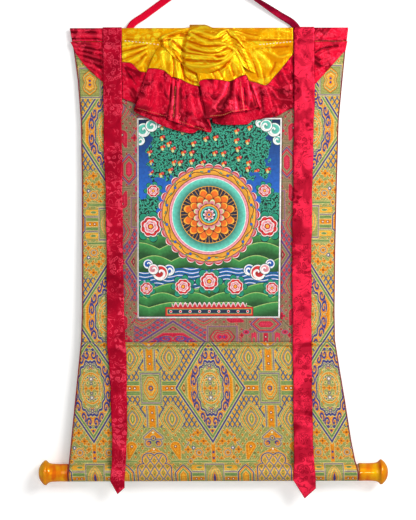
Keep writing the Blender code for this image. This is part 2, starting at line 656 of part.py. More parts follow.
def make_veil(collection, cutters):
    """The cover: two side borders, the red hem, and the yellow field with its drawn-up middle."""
    for name, rows in (("veil_side_left", VEIL_SIDE_LEFT_ROWS), ("veil_side_right", VEIL_SIDE_RIGHT_ROWS)):
        add_sheet(name, len(rows) - 1, 8, veil_place(rows, True), SILK_THICKNESS, "red damask", collection)
    rows = with_round_turns(VEIL_FIELD_ROWS)
    add_sheet("veil_hem", len(rows) - 1, 6, veil_place(rows, True), SILK_THICKNESS, "red damask", collection)
    field = add_sheet("veil_field", len(rows) - 1, 6, veil_place(rows, False), SILK_THICKNESS,
                      "yellow silk", collection)
    behind = len(DRAWN_BEHIND)
    last_row = DRAWN_LEVELS + behind
    folds = len(FOLD_BOTTOM)

    def place(u, w):
        column = u * (folds - 1)
        left = min(int(column), folds - 2)
        share = column - left
        step = round(w * last_row)
        level = max(step - behind, 0) / DRAWN_LEVELS

        def mixed(table):
            return blend(look_up(table, left + 1, level), look_up(table, left + 2, level), share) * MM

        if step >= behind:
            bottom = blend(FOLD_BOTTOM[left], FOLD_BOTTOM[left + 1], share) * MM
            depth = mixed(FOLD_DEPTH) + sag_fold(column, level)
            return at_depth(mixed(FOLD_X), blend(HEADING_TOP, bottom, level), depth)
        depth, z = DRAWN_BEHIND[step]
        return Vector((mixed(FOLD_X), CLOTH_TOP_Y - depth, z))

    drawn = add_sheet("drawn_up_middle", 2 * (folds - 1), last_row, place, DRAWN_THICKNESS,
                      "yellow silk", cutters)
    drawn.hide_render = True
    drawn.display_type = "WIRE"
    join = field.modifiers.new("drawn-up middle", "BOOLEAN")
    join.operation = "UNION"
    join.solver = "EXACT"
    join.object = drawn


def make_ribbons(collection):
    """The two ribbons: over the heading, down the face, clear of the sleeve, to a point."""
    half_depth = HEADING_FOLD_RADIUS + SILK_THICKNESS / 2 + SEAM_GAP + RIBBON_THICKNESS / 2
    top = HEADING_TOP + SEAM_GAP + RIBBON_THICKNESS / 2
    behind = over_the_top(half_depth, top, RIBBON_TAIL_Z, 6)
    for name, table, ends in (("ribbon_left", RIBBON_LEFT_ROWS, RIBBON_LEFT_END),
                              ("ribbon_right", RIBBON_RIGHT_ROWS, RIBBON_RIGHT_END)):
        rows = len(behind) + len(table)

        def place(u, w, table=table, ends=ends, rows=rows):
            index = round(w * rows)
            if index < len(behind):
                depth, z = behind[index]
                return Vector((blend(table[0][1], table[0][2], u) * MM, CLOTH_TOP_Y - depth, z))
            z, left, right, depth = table[min(index - len(behind), len(table) - 1)]
            if index == rows:
                z = blend(ends[0], ends[1], 2 * u) if u <= 0.5 else blend(ends[1], ends[2], 2 * u - 1)
            lean = cloth_y((left + right) / 2 * MM, z * MM)
            return Vector((blend(left, right, u) * MM, lean - depth * MM, z * MM))

        add_sheet(name, 4, rows, place, RIBBON_THICKNESS, "red damask", collection)


def make_tape(collection):
    """The flat tape, which lies flat behind the heading and turns on edge over the nail."""
    points = [Vector(row[:3]) * MM for row in TAPE_ROWS]
    rows = 2 * (len(points) - 1)

    def middle(position):
        whole = min(int(position), len(points) - 2)
        before, after = points[max(whole - 1, 0)], points[min(whole + 2, len(points) - 1)]
        a, b = points[whole], points[whole + 1]
        t = position - whole
        length = (b - a).length
        slope_a = (b - before).normalized() * length
        slope_b = (after - a).normalized() * length
        return (a * (2 * t ** 3 - 3 * t ** 2 + 1) + b * (3 * t ** 2 - 2 * t ** 3)
                + slope_a * (t ** 3 - 2 * t ** 2 + t) + slope_b * (t ** 3 - t ** 2))

    def place(u, w):
        position = w * (len(points) - 1)
        whole = min(int(position), len(points) - 2)
        twist = math.radians(blend(TAPE_ROWS[whole][3], TAPE_ROWS[whole + 1][3], position - whole))
        onward = middle(min(position + TAPE_LOOK_AHEAD, len(points) - 1))
        ahead = onward - middle(max(position - TAPE_LOOK_AHEAD, 0.0))
        upright = Vector((-ahead.z, 0.0, ahead.x)).normalized()
        across = upright * math.cos(twist) + Vector((0.0, 1.0, 0.0)) * math.sin(twist)
        return middle(position) + across * TAPE_WIDTH * (u - 0.5)

    add_sheet("hanging_tape", 2, rows, place, TAPE_THICKNESS, "red damask", collection)


def make_roller(collection):
    """The rod in the sleeve, and a turned knob fitted over each of its ends."""
    left = SLEEVE_LEFT - ROD_SOCKET_DEPTH
    right = SLEEVE_RIGHT + ROD_SOCKET_DEPTH
    bpy.ops.mesh.primitive_cylinder_add(vertices=ROUND_STEPS, radius=ROD_DIAMETER / 2, depth=right - left)
    rod = bpy.context.object
    rod.name = "roller_rod"
    rod.rotation_euler = (0.0, math.pi / 2, 0.0)
    rod.location = ((left + right) / 2, ROD_AXIS_Y, ROD_AXIS_Z)
    rod.data.materials.append(material("wood"))
    rod.data.shade_smooth()
    rod.data.set_sharp_from_angle(angle=math.radians(40))
    for owner in rod.users_collection:
        owner.objects.unlink(rod)
    collection.objects.link(rod)

    socket = ROD_DIAMETER / 2 + SEAM_GAP
    profile = [(along * MM, radius * MM) for along, radius in KNOB_PROFILE]
    profile += [(0.0, socket), (ROD_SOCKET_DEPTH, socket), (ROD_SOCKET_DEPTH, 0.0)]
    for name, end, outward in (("knob_left", SLEEVE_LEFT, -1), ("knob_right", SLEEVE_RIGHT, 1)):
        mesh = bpy.data.meshes.new(name)
        section = bmesh.new()
        corners = [section.verts.new((radius, 0.0, along)) for along, radius in profile]
        for a, b in zip(corners, corners[1:]):
            section.edges.new((a, b))
        section.to_mesh(mesh)
        section.free()
        knob = add_object(name, mesh, "amber lacquer", collection)
        turning = knob.modifiers.new("turned", "SCREW")
        turning.axis = "Z"
        turning.steps = ROUND_STEPS
        turning.render_steps = ROUND_STEPS
        turning.use_merge_vertices = True
        turning.merge_threshold = 0.00005
        turning.use_smooth_shade = True
        knob.rotation_euler = (0.0, outward * math.pi / 2, 0.0)
        knob.location = (end + outward * 2 * SEAM_GAP, ROD_AXIS_Y, ROD_AXIS_Z)


def main():
    """Builds the whole scroll painting."""
    for leftover in list(bpy.data.objects):
        bpy.data.objects.remove(leftover, do_unlink=True)
    scene = bpy.context.scene
    scroll = bpy.data.collections.new("thangka scroll painting")
    cutters = bpy.data.collections.new("shapes joined into others")
    scene.collection.children.link(scroll)
    scene.collection.children.link(cutters)
    make_painting(scroll)
    make_upper_panels(scroll)
    make_bottom(scroll)
    make_heading(scroll)
    make_veil(scroll, cutters)
    make_ribbons(scroll)
    make_tape(scroll)
    make_roller(scroll)


main()
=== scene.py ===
# %% [markdown]
# # A scroll painting that hangs on the wall
# A painted cotton canvas sits in a frame of silk brocade. A thin silk cover is gathered up over its
# top, two ribbons hang down its face, and a wooden roller with turned knobs keeps the lower edge
# straight. The solids give each piece's size and place. Here every piece gets its fine surface and
# its finish.

import json
import math

import bpy
import numpy as np
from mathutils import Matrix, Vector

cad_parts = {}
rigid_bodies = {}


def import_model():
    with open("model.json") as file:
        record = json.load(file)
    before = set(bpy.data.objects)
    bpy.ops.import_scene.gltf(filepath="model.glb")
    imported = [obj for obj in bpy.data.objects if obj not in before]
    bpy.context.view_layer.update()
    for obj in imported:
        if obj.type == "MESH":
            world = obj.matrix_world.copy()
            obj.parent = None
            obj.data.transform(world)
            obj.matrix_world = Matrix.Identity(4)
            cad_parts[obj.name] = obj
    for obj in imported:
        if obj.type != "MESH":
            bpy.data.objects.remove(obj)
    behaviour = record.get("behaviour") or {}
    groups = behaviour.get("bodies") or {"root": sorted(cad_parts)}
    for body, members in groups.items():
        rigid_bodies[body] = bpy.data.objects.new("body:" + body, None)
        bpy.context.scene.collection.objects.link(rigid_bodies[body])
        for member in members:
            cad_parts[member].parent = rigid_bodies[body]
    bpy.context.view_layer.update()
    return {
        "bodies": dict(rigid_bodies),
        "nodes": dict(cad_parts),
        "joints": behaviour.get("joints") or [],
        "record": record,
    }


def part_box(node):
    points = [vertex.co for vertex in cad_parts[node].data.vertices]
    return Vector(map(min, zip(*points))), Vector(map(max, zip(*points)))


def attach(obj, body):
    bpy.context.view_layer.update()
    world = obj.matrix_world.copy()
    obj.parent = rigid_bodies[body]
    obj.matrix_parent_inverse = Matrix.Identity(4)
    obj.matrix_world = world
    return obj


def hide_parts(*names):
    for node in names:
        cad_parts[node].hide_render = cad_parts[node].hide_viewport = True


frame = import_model()
MM = 0.001

# %% [markdown]
# Cloth is a surface with two directions: across it and down it. Each piece below is a grid of
# points worked out as whole arrays, and the same grid carries the flat cloth's own coordinates in
# metres as a UV map, so that a woven figure bends with the folds.

# %% A sheet of cloth from a grid of points


def grid_quads(rows, columns):
    """Corner numbers of a grid's quads, which face the viewer when rows run down and columns right."""
    number = np.arange(rows * columns).reshape(rows, columns)
    quads = np.stack([number[:-1, :-1], number[1:, :-1], number[1:, 1:], number[:-1, 1:]], axis=-1)
    return quads.reshape(-1, 4)


def mesh_from_grid(name, grid, flat, relief=0.0):
    """A mesh from a grid of points (rows, columns, 3), their flat coordinates (rows, columns, 2) and
    how far each lies on a ridge (up to 1) or in a trough (down to -1). That last is kept as the
    "fold" attribute, from which the silks paint ridges lighter and troughs in shade."""
    rows, columns = grid.shape[:2]
    quads = grid_quads(rows, columns)
    mesh = bpy.data.meshes.new(name)
    mesh.from_pydata(grid.reshape(-1, 3).tolist(), [], quads.tolist())
    layer = mesh.uv_layers.new(name="cloth")
    layer.data.foreach_set("uv", flat.reshape(-1, 2)[quads.reshape(-1)].reshape(-1))
    # The silks read this as painted light on ridges and painted shade in troughs.
    ridges = mesh.attributes.new("fold", "FLOAT", "POINT")
    ridges.data.foreach_set("value", np.clip(relief + np.zeros((rows, columns)), -1.0, 1.0).reshape(-1))
    mesh.polygons.foreach_set("use_smooth", np.ones(len(quads), bool))
    mesh.update()
    return mesh


def add_piece(name, mesh, finish, nodes):
    """Shows a mesh as a piece of the object in place of the solids it stands for."""
    piece = bpy.data.objects.new(name, mesh)
    bpy.context.scene.collection.objects.link(piece)
    mesh.materials.append(finish)
    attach(piece, "root")
    if nodes:
        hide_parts(*nodes)
    return piece


def add_cloth(name, grid, flat, thickness, finish, nodes, relief=0.0, reverse=None):
    """A sheet with its real thickness: half to either side of the grid of points. A reverse is the
    finish of its back, where that isn't the same."""
    piece = add_piece(name, mesh_from_grid(name, grid, flat, relief), finish, nodes)
    shell = piece.modifiers.new("thickness", "SOLIDIFY")
    shell.thickness = thickness
    shell.offset = 0.0
    shell.use_even_offset = False
    if reverse:
        piece.data.materials.append(reverse)
        shell.material_offset = 1
    return piece


# %% [markdown]
# Three small tools do most of the shaping: a straight mix, a soft step, and a smooth curve through
# a table of values that never swings past them, which matters where cloth folds back on itself.

# %% Curves through tables


def mix(a, b, t):
    """A straight mix: a where t is 0, b where t is 1."""
    return a + (b - a) * t


def soft_step(t):
    """0 below 0, 1 above 1, and 3t^2 - 2t^3 between."""
    t = np.clip(t, 0.0, 1.0)
    return t * t * (3.0 - 2.0 * t)


def round_bump(t):
    """(1 - t^2)^2 for t between -1 and 1, and 0 outside."""
    return (1.0 - np.clip(np.abs(t), 0.0, 1.0) ** 2) ** 2


def pressed_bump(t):
    """Half of a round bump and half of (1 - |t|)^2, which has a sharp ridge like pressed silk."""
    return 0.5 * round_bump(t) + 0.5 * (1.0 - np.clip(np.abs(t), 0.0, 1.0)) ** 2


def smooth_through(stations, values, at):
    """Cubic pieces through the values. The slope at a station is the harmonic mean of the straight
    slopes beside it, or zero where the values turn, so no piece swings past its ends."""
    stations, values = np.asarray(stations, float), np.asarray(values, float)
    step = np.diff(stations)
    straight = np.diff(values, axis=0) / step[:, None]
    before, after = straight[:-1], straight[1:]
    turning = before * after <= 0.0
    total = np.where(turning, 1.0, before + after)
    inner = np.where(turning, 0.0, 2.0 * before * after / total)
    slope = np.vstack([straight[:1], inner, straight[-1:]])
    k = np.clip(np.searchsorted(stations, at, side="right") - 1, 0, len(step) - 1)
    t, h = ((at - stations[k]) / step[k])[:, None], step[k][:, None]
    value = values[k] * (2 * t**3 - 3 * t**2 + 1) + values[k + 1] * (3 * t**2 - 2 * t**3)
    return value + h * (slope[k] * (t**3 - 2 * t**2 + t) + slope[k + 1] * (t**3 - t**2))


FOLD_SPREAD = 1.6            # a fold dies out at this many half widths from its line


def fold_lines(x, z, lines):
    """Relief of folds on points at x and z (mm). A line is a half width, a height, and x and z of
    each point in turn. Its fold follows a smooth curve through the points, with a rounded profile
    that is the height in the middle and dies out to the sides. A negative height is a trough."""
    relief = np.zeros_like(x)
    for half_width, height, *points in lines:
        points = np.array(points, float).reshape(-1, 2)
        stations = arc_lengths(points)
        curve = smooth_through(stations, points, np.linspace(0, stations[-1], 6 * len(points)))
        start, run = curve[:-1], np.diff(curve, axis=0)
        away_x, away_z = x[..., None] - start[:, 0], z[..., None] - start[:, 1]
        along = np.clip((away_x * run[:, 0] + away_z * run[:, 1]) / (run**2).sum(axis=1), 0.0, 1.0)
        away = np.hypot(away_x - run[:, 0] * along, away_z - run[:, 1] * along).min(axis=-1)
        relief += height * pressed_bump(away / (FOLD_SPREAD * half_width))
    return relief


def arc_lengths(points):
    """Distance along a line of points, from its first."""
    return np.concatenate([[0.0], np.cumsum(np.linalg.norm(np.diff(points, axis=0), axis=1))])


# %% [markdown]
# The mount isn't flat on the wall. It leans out from its top, where it lies near the wall, to the
# roller, whose knobs hold it off, and slow waves run through the cloth between. All that lies on
# the mount is placed by its depth in front of this surface.

# %% Where the mount's cloth hangs
heading_low, heading_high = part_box("heading_middle")
rod_low, rod_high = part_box("roller_rod")
canvas_low, canvas_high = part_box("painting_canvas")

SEAM_GAP = 0.0003
BROCADE_THICKNESS = 0.0015
SILK_THICKNESS = 0.0012
CANVAS_THICKNESS = 0.0012
RIBBON_THICKNESS = 0.0015
BINDING_WIDTH = 0.0025
BINDING_THICKNESS = 0.0018
BORDER_WIDTH = 0.0552

HEADING_TOP = heading_high.z
HEADING_BOTTOM = heading_low.z
HEADING_FOLD_RADIUS = 0.00175
CLOTH_TOP = -0.1350
CLOTH_TOP_Y = (heading_low.y + heading_high.y) / 2
ROD_RADIUS = (rod_high.z - rod_low.z) / 2
ROD_AXIS_Y = (rod_low.y + rod_high.y) / 2
ROD_AXIS_Z = (rod_low.z + rod_high.z) / 2
SLEEVE_SEAM_Z = -1.1270
SLEEVE_RADIUS = ROD_RADIUS + 2 * SEAM_GAP + BROCADE_THICKNESS / 2
SLEEVE_LEFT, SLEEVE_RIGHT = -0.3268, 0.3365

PAINTING_TOP, PAINTING_BOTTOM = canvas_high.z + SEAM_GAP / 2, canvas_low.z - SEAM_GAP / 2
PAINTING_LEFT = canvas_low.x - SEAM_GAP / 2
PAINTING_RIGHT_TOP, PAINTING_RIGHT_BOTTOM = 0.1650, 0.1585
JOIN_Z = PAINTING_BOTTOM - BORDER_WIDTH

WAVE_HEIGHT, WAVE_LENGTH, WAVE_PHASE = 0.0012, 0.31, 0.6
SLANT_LENGTH, SLANT_FALL, SLANT_SHARE = 0.19, 0.46, 0.6

# outline of the mount: z, left edge, right edge (mm)
EDGE_ROWS = np.array([
    (-133, -323.0, 318.6), (-184, -314.0, 312.0), (-253, -304.8, 304.8), (-345, -297.9, 295.6),
    (-483, -295.6, 291.0), (-644, -295.6, 286.4), (-782, -295.6, 284.0), (-851, -297.9, 284.6),
    (-920, -304.8, 295.6), (-989, -311.7, 307.0), (-1081, -320.8, 320.9), (-1127, -325.5, 330.0),
    (-1155, -326.8, 336.5), (-1200, -326.8, 336.5),
])


def cloth_edge(side, z):
    """x of the mount's outer edge at heights z, from the table; side is 1 for left, 2 for right."""
    return np.interp(-z / MM, -EDGE_ROWS[:, 0], EDGE_ROWS[:, side]) * MM


def cloth_y(x, z):
    """y of the mount: a straight lean from heading to roller, plus two sine waves that fade out at
    both ends."""
    down = np.clip((HEADING_BOTTOM - z) / (HEADING_BOTTOM - SLEEVE_SEAM_Z), 0.0, 1.0)
    lean = mix(CLOTH_TOP_Y, ROD_AXIS_Y, down)
    across = np.sin(2 * np.pi * x / WAVE_LENGTH + WAVE_PHASE)
    slanted = np.sin(2 * np.pi * (x / SLANT_LENGTH + z / SLANT_FALL))
    return lean + WAVE_HEIGHT * np.sin(np.pi * down) * (across + SLANT_SHARE * slanted)


def at_depth(x, z, depth):
    """Points at x and z that lie a depth in front of the mount."""
    return np.stack([x, cloth_y(x, z) - depth, z], axis=-1)


print("the mount leans out by", round((CLOTH_TOP_Y - ROD_AXIS_Y) / MM, 1), "mm")

# %% [markdown]
# Woven figures are drawn with arithmetic. A number that changes over the cloth is a socket of the
# shader; each sign in a formula adds one Math node. A figure is built like a weaver's draft: every
# shape lays the number of a thread over what is there, and at the end a colour ramp dyes the threads.

# %% Arithmetic on sockets


class Number:
    """A number that changes over the surface. Python's signs on it add Math nodes to the tree."""

    tree = None

    def __init__(self, socket):
        self.socket = socket

    @staticmethod
    def made(operation, *terms):
        node = Number.tree.nodes.new("ShaderNodeMath")
        node.operation = operation
        for slot, term in zip(node.inputs, terms):
            plug(Number.tree, term, slot)
        return Number(node.outputs[0])

    def __add__(self, other):
        return Number.made("ADD", self, other)

    def __radd__(self, other):
        return Number.made("ADD", self, other)

    def __sub__(self, other):
        return Number.made("SUBTRACT", self, other)

    def __rsub__(self, other):
        return Number.made("SUBTRACT", other, self)

    def __mul__(self, other):
        return Number.made("MULTIPLY", self, other)

    def __truediv__(self, other):
        return Number.made("DIVIDE", self, other)

    def __lt__(self, other):
        return Number.made("LESS_THAN", self, other)

    def __gt__(self, other):
        return Number.made("GREATER_THAN", self, other)

    def __and__(self, other):
        return Number.made("MULTIPLY", self, other)

    def __or__(self, other):
        return Number.made("MAXIMUM", self, other)

    def __abs__(self):
        return Number.made("ABSOLUTE", self)

    def near(self, value, half_width):
        """1 where this number is within half_width of value, else 0."""
        return Number.made("COMPARE", self, value, half_width)

    def fold(self, half_period):
        """Distance to the nearest multiple of twice half_period: a mirror-wise repeat."""
        return Number.made("PINGPONG", self, half_period)

    def sin(self):
        return Number.made("SINE", self)

    def squared(self):
        return Number.made("MULTIPLY", self, self)


def plug(tree, value, slot):
    """Puts a value into an input: a Number or a socket is linked to it, anything else is set."""
    if isinstance(value, Number):
        value = value.socket
    if isinstance(value, bpy.types.NodeSocket):
        tree.links.new(value, slot)
    else:
        slot.default_value = value


def fill(tree, node, **values):
    """Sets or links a node's inputs, each by its name, and gives the node back."""
    for title, value in values.items():
        plug(tree, value, node.inputs[title.replace("_", " ")])
    return node


def add_node(tree, kind, **values):
    """A new shader node of a kind, with inputs set or linked by name."""
    return fill(tree, tree.nodes.new("ShaderNode" + kind), **values)


def vector_math(tree, operation, *terms):
    """One Vector Math node's result; a term is a vector or a socket."""
    node = tree.nodes.new("ShaderNodeVectorMath")
    node.operation = operation
    for slot, term in zip(node.inputs, terms):
        plug(tree, term, slot)
    return node.outputs[0]


def larger(a, b):
    return Number.made("MAXIMUM", a, b)


def smaller(a, b):
    return Number.made("MINIMUM", a, b)


def clipped(value):
    """Held between 0 and 1."""
    return smaller(larger(value, 0.0), 1.0)


def length_of(a, b):
    """Distance from the origin: the square root of a^2 + b^2."""
    return Number.made("SQRT", Number.made("MULTIPLY_ADD", a, a, b.squared()))


def angle_of(a, b):
    """The angle of the direction (a, b), whose sine follows a."""
    return Number.made("ARCTAN2", a, b)


class Draft:
    """A weaver's draft: lay() puts a thread's number where a shape is 1."""

    def __init__(self, ground):
        self.thread = ground

    def lay(self, shape, thread):
        node = Number.tree.nodes.new("ShaderNodeMix")
        for place, value in ((0, shape), (2, self.thread), (3, thread)):
            plug(Number.tree, value, node.inputs[place])
        self.thread = Number(node.outputs[0])


def new_group(name, inputs, outputs):
    """An empty node group with named sockets: inputs are (name, type, default), outputs (name,
    type)."""
    group = bpy.data.node_groups.new(name, "ShaderNodeTree")
    for title, kind, default in inputs:
        socket = group.interface.new_socket(title, in_out="INPUT", socket_type=kind)
        if default is not None:
            socket.default_value = default
    for title, kind in outputs:
        group.interface.new_socket(title, in_out="OUTPUT", socket_type=kind)
    start, end = group.nodes.new("NodeGroupInput"), group.nodes.new("NodeGroupOutput")
    Number.tree = group
    return group, start, end


def place_group(tree, group, **values):
    """Puts a group into a tree, with its inputs set or linked by name."""
    node = tree.nodes.new("ShaderNodeGroup")
    node.node_tree = group
    return fill(tree, node, **values)


def split(vector_socket):
    """The x, y and z of a vector socket as Numbers."""
    node = Number.tree.nodes.new("ShaderNodeSeparateXYZ")
    Number.tree.links.new(vector_socket, node.inputs[0])
    return [Number(output) for output in node.outputs]


def voronoi(tree, spot, scale, randomness):
    """A flat Voronoi pattern at a vector socket."""
    node = tree.nodes.new("ShaderNodeTexVoronoi")
    node.voronoi_dimensions = "2D"
    return fill(tree, node, Vector=spot, Scale=scale, Randomness=randomness)


def nearest_cell(tree, spot, randomness):
    """The Voronoi cell that a place lies in: x and y from the cell's centre, and two random numbers
    that belong to the cell."""
    cells = voronoi(tree, spot, 1.0, randomness)
    offset = vector_math(tree, "SUBTRACT", spot, cells.outputs["Position"])
    x, y, _ = split(offset)
    hue = add_node(tree, "SeparateColor", Color=cells.outputs["Color"])
    return x, y, Number(hue.outputs[0]), Number(hue.outputs[1])


# %% [markdown]
# The gold brocade is a satin with a large traditional figure: rows of pointed lozenges with a
# medallion in each, framed panels between them, diamond lattice, cloud heads, rosettes and small
# four-petal flowers. It repeats every 272 mm across and every 425 mm down and is the same to left
# and right and up and down, so only a quarter of one repeat is drawn, in millimetres from the
# lozenge's centre. The inner border is a smaller strip of the same figure in other colours.

# %% The brocade's figure as a draft of threads
SAGE, OLIVE, ORANGE, GOLD, CREAM, INDIGO, GREY, BROWN, LEAF, WHITE = range(10)
THREADS = 10
REPEAT_ACROSS, REPEAT_DOWN = 272.4, 425.0
LOZENGE_WIDE, LOZENGE_HIGH = 78.0, 122.0
LOZENGE_SLOPE = LOZENGE_WIDE * LOZENGE_HIGH / math.hypot(LOZENGE_WIDE, LOZENGE_HIGH)


def lay_rings(draft, size, rings, region=None):
    """Lays filled shapes one inside the other, only within a region if one is given. The rings are
    (largest size, thread), outermost first."""
    for limit, thread in rings:
        shape = size < limit
        draft.lay(region & shape if region else shape, thread)


def lay_dot(draft, across, down, radius, rim, centre):
    """A round dot with a rim."""
    lay_rings(draft, length_of(across, down), ((radius, rim), (radius * 0.52, centre)))


def lay_curl(draft, across, down, radius, heart):
    """The end of a scroll: a disc with a smaller one off its middle, which leaves a crescent."""
    draft.lay(length_of(across, down) < radius, INDIGO)
    draft.lay(length_of(across - radius * 0.28, down - radius * 0.3) < radius * 0.52, heart)


def lay_lattice(draft, region, x, y, wide, high, hearts, line):
    """Diamonds of that width and height: rings in the heart of each, and crossing lines."""
    p, q = x / wide + y / high, x / wide - y / high
    heart = larger((p + 0.5).fold(0.5), (q + 0.5).fold(0.5))
    lay_rings(draft, heart, hearts, region)
    draft.lay(region & (smaller(p.fold(0.5), q.fold(0.5)) < line[0]), line[1])


def lay_ground(draft, edge, a, b, c):
    """Short lines that follow the lozenge, with seeds between them, and two sizes of lattice."""
    broken = (a * 0.9 - b * 0.55).fold(5.5) < 3.6
    draft.lay(((edge + 1.9).fold(2.6) < 0.7) & broken, LEAF)
    draft.lay((edge.fold(5.2) < 0.7) & broken, CREAM)
    seeds = ((0.22, CREAM), (0.17, ORANGE), (0.07, BROWN))
    lay_lattice(draft, edge > 3.0, a, b + 3.0, 17.0, 20.0, seeds, (0.0, SAGE))
    field = (edge > 3.0) & (b > 16.0) & (b < 90.0) & (c > 13.0)
    small = ((9.0, CREAM), (0.39, SAGE), (0.27, GOLD), (0.14, ORANGE))
    lay_lattice(draft, field, a, b - 16.0, 11.6, 19.0, small, (0.1, INDIGO))
    large = ((9.0, CREAM), (0.43, SAGE), (0.32, GOLD), (0.2, ORANGE), (0.08, CREAM))
    lay_lattice(draft, field & (c < 27.0) & (b > 38.0), c - 16.0, b - 63.0, 20.0, 31.0, large,
                (0.07, INDIGO))


def lay_pointed_oval(draft, a, b):
    """A pointed frame of nested lines between the lozenge and the column, with an eye in it."""
    frame = abs(a - 91.0) / 25.0 + (abs(b - 70.0) / 36.0).squared() * 0.6 + abs(b - 70.0) / 90.0
    lay_rings(draft, frame, ((1.16, CREAM), (1.1, SAGE), (1.0, CREAM), (0.94, ORANGE), (0.84, CREAM),
                             (0.79, LEAF), (0.68, CREAM), (0.62, ORANGE), (0.54, SAGE)))
    eye = abs(a - 91.0) / 11.5 + ((b - 70.0) / 18.0).squared()
    lay_rings(draft, eye, ((1.0, GREY), (0.74, CREAM), (0.64, GOLD), (0.4, LEAF), (0.16, CREAM)))
    lay_dot(draft, a - 91.0, abs(b - 70.0) - 24.0, 3.0, ORANGE, BROWN)


def lay_column(draft, b, c):
    """The framed panel, the bars above and below it and the band beside it."""
    bar = (b > 36.0) & (b < 90.0)
    lay_rings(draft, c, ((14.4, CREAM), (13.2, GREY), (10.2, CREAM), (9.2, SAGE), (7.4, GOLD),
                         (6.4, ORANGE)), bar)
    for down in (56.0, 73.0):
        lay_dot(draft, c, b - down, 3.3, BROWN, WHITE)
    band = (c > 23.0) & (c < 59.0)
    lay_rings(draft, b, ((17.0, CREAM), (15.6, LEAF), (11.6, SAGE), (10.6, LEAF), (7.2, CREAM),
                         (6.0, ORANGE)), band)
    for across in (37.0, 48.5):
        lay_dot(draft, c - across, b, 3.7, BROWN, WHITE)
    frame_size = larger(c / 24.5, b / 37.5)
    lay_rings(draft, frame_size, ((1.06, CREAM), (1.02, LEAF), (0.96, CREAM), (0.94, GREY),
                                  (0.85, CREAM), (0.82, LEAF), (0.75, SAGE)))
    draft.lay((frame_size < 0.74) & (c + b).fold(3.4).near(0.0, 0.5), CREAM)
    heart = larger(larger(c / 17.5, b / 27.5), (c + b * 0.6) / 22.8)
    lay_rings(draft, heart, ((1.04, CREAM), (0.98, OLIVE), (0.93, ORANGE), (0.82, CREAM), (0.77, SAGE),
                             (0.68, CREAM), (0.63, ORANGE), (0.52, GOLD), (0.4, CREAM), (0.34, ORANGE)))
    lay_rings(draft, length_of(c, b), ((6.6, CREAM), (6.0, INDIGO), (4.0, BROWN), (2.9, ORANGE)))


def lay_cloud_head(draft, b, c):
    """A cloud head under the column's bar: a pointed roof on two legs with curls between them."""
    roof = larger((c * 0.85 + 92.0 - b) * 0.76, larger(c - 22.0, b - 116.0))
    leg = length_of(c - 11.0, b - 125.0) - 8.5
    size = smaller(roof, leg)
    lay_rings(draft, size, ((4.4, SAGE), (2.8, CREAM), (1.6, GREY), (-1.2, CREAM), (-2.2, ORANGE),
                            (-7.5, GOLD)))
    draft.lay((c < 5.0) & b.near(125.0, 9.0), SAGE)
    lay_curl(draft, c - 9.5, b - 124.0, 4.6, ORANGE)
    lay_rings(draft, length_of(c, b - 114.0), ((6.0, INDIGO), (4.2, CREAM), (2.4, BROWN)))
    lay_dot(draft, c, b - 101.0, 3.2, CREAM, WHITE)
    lay_dot(draft, c - 26.5, b - 128.0, 3.2, ORANGE, BROWN)


def lay_dome(draft, b, c):
    """A lobed arch filled with scales, under a small orange gable."""
    gable = b - 138.5 - c * 0.55
    draft.lay((c < 31.0) & gable.near(0.0, 4.0), CREAM)
    draft.lay((c < 30.0) & gable.near(0.0, 2.9), ORANGE)
    lay_dot(draft, c, b - 139.0, 4.4, ORANGE, WHITE)
    lobe = length_of(c - 12.0, b - 164.0) - 16.5
    shoulder = length_of(c - 24.5, b - 188.0) - 14.5
    body = smaller(larger(c - 39.0, 188.0 - b), larger(c - 22.0, 168.0 - b))
    size = smaller(smaller(lobe, shoulder), body)
    lay_rings(draft, size, ((3.4, ORANGE), (1.6, CREAM), (0.6, INDIGO), (-1.8, CREAM), (-3.0, ORANGE),
                            (-4.2, GOLD)))
    lay_lattice(draft, size < -4.2, c + 9.6, b - 166.0, 19.4, 32.0,
                ((0.42, CREAM), (0.36, GOLD), (0.22, LEAF), (0.1, ORANGE)), (0.09, GREY))


def lay_bud(draft, b, c):
    """A leaning bud with a round head and a pointed foot: its radius shrinks along its middle line."""
    down = clipped((b - 134.0) / 30.0)
    away = length_of(c - 50.0 - down * 9.0, b - 134.0 - down * 30.0) - (1.0 - down) * 10.0
    lay_rings(draft, away, ((3.2, CREAM), (2.0, ORANGE), (-3.6, GOLD), (-5.4, ORANGE)))
    lay_dot(draft, c - 50.0, b - 133.0, 3.4, BROWN, WHITE)
    lay_dot(draft, c - 42.0, b - 148.0, 3.2, LEAF, BROWN)
    lay_dot(draft, c - 66.0, b - 146.0, 3.2, ORANGE, CREAM)


def lay_flower(draft, across, down, size):
    """Four petals: two discs, of which the one along the nearer axis counts."""
    x, y = abs(across), abs(down)
    petal = smaller(length_of(x - size * 0.62, y * 1.3), length_of(x * 1.3, y - size * 0.62))
    lay_rings(draft, petal / size, ((0.66, CREAM), (0.54, ORANGE)))
    lay_rings(draft, larger(x, y), ((size * 0.26, BROWN),))


def lay_rosette(draft, across, down, radius):
    """Rings with eight lobes: the radius is drawn in and out by a sine of the angle."""
    lobes = (angle_of(across, down) * 8.0).sin() * 0.07 + 1.0
    size = length_of(across, down) / radius * lobes
    lay_rings(draft, size, ((1.04, CREAM), (0.94, ORANGE), (0.72, CREAM), (0.62, GREY), (0.46, CREAM),
                            (0.36, ORANGE), (0.14, BROWN)))


def lay_corner(draft, across, down):
    """A pointed head of nested lines, mirrored at the repeat's edge."""
    x = abs(across)
    size = larger((x * 1.1 - down) * 0.67, x - 17.5)
    lay_rings(draft, size, ((2.6, CREAM), (1.4, INDIGO), (-1.2, CREAM), (-2.0, ORANGE), (-5.2, CREAM),
                            (-6.2, LEAF), (-8.6, SAGE), (-9.6, CREAM), (-10.6, ORANGE), (-13.5, GOLD)))


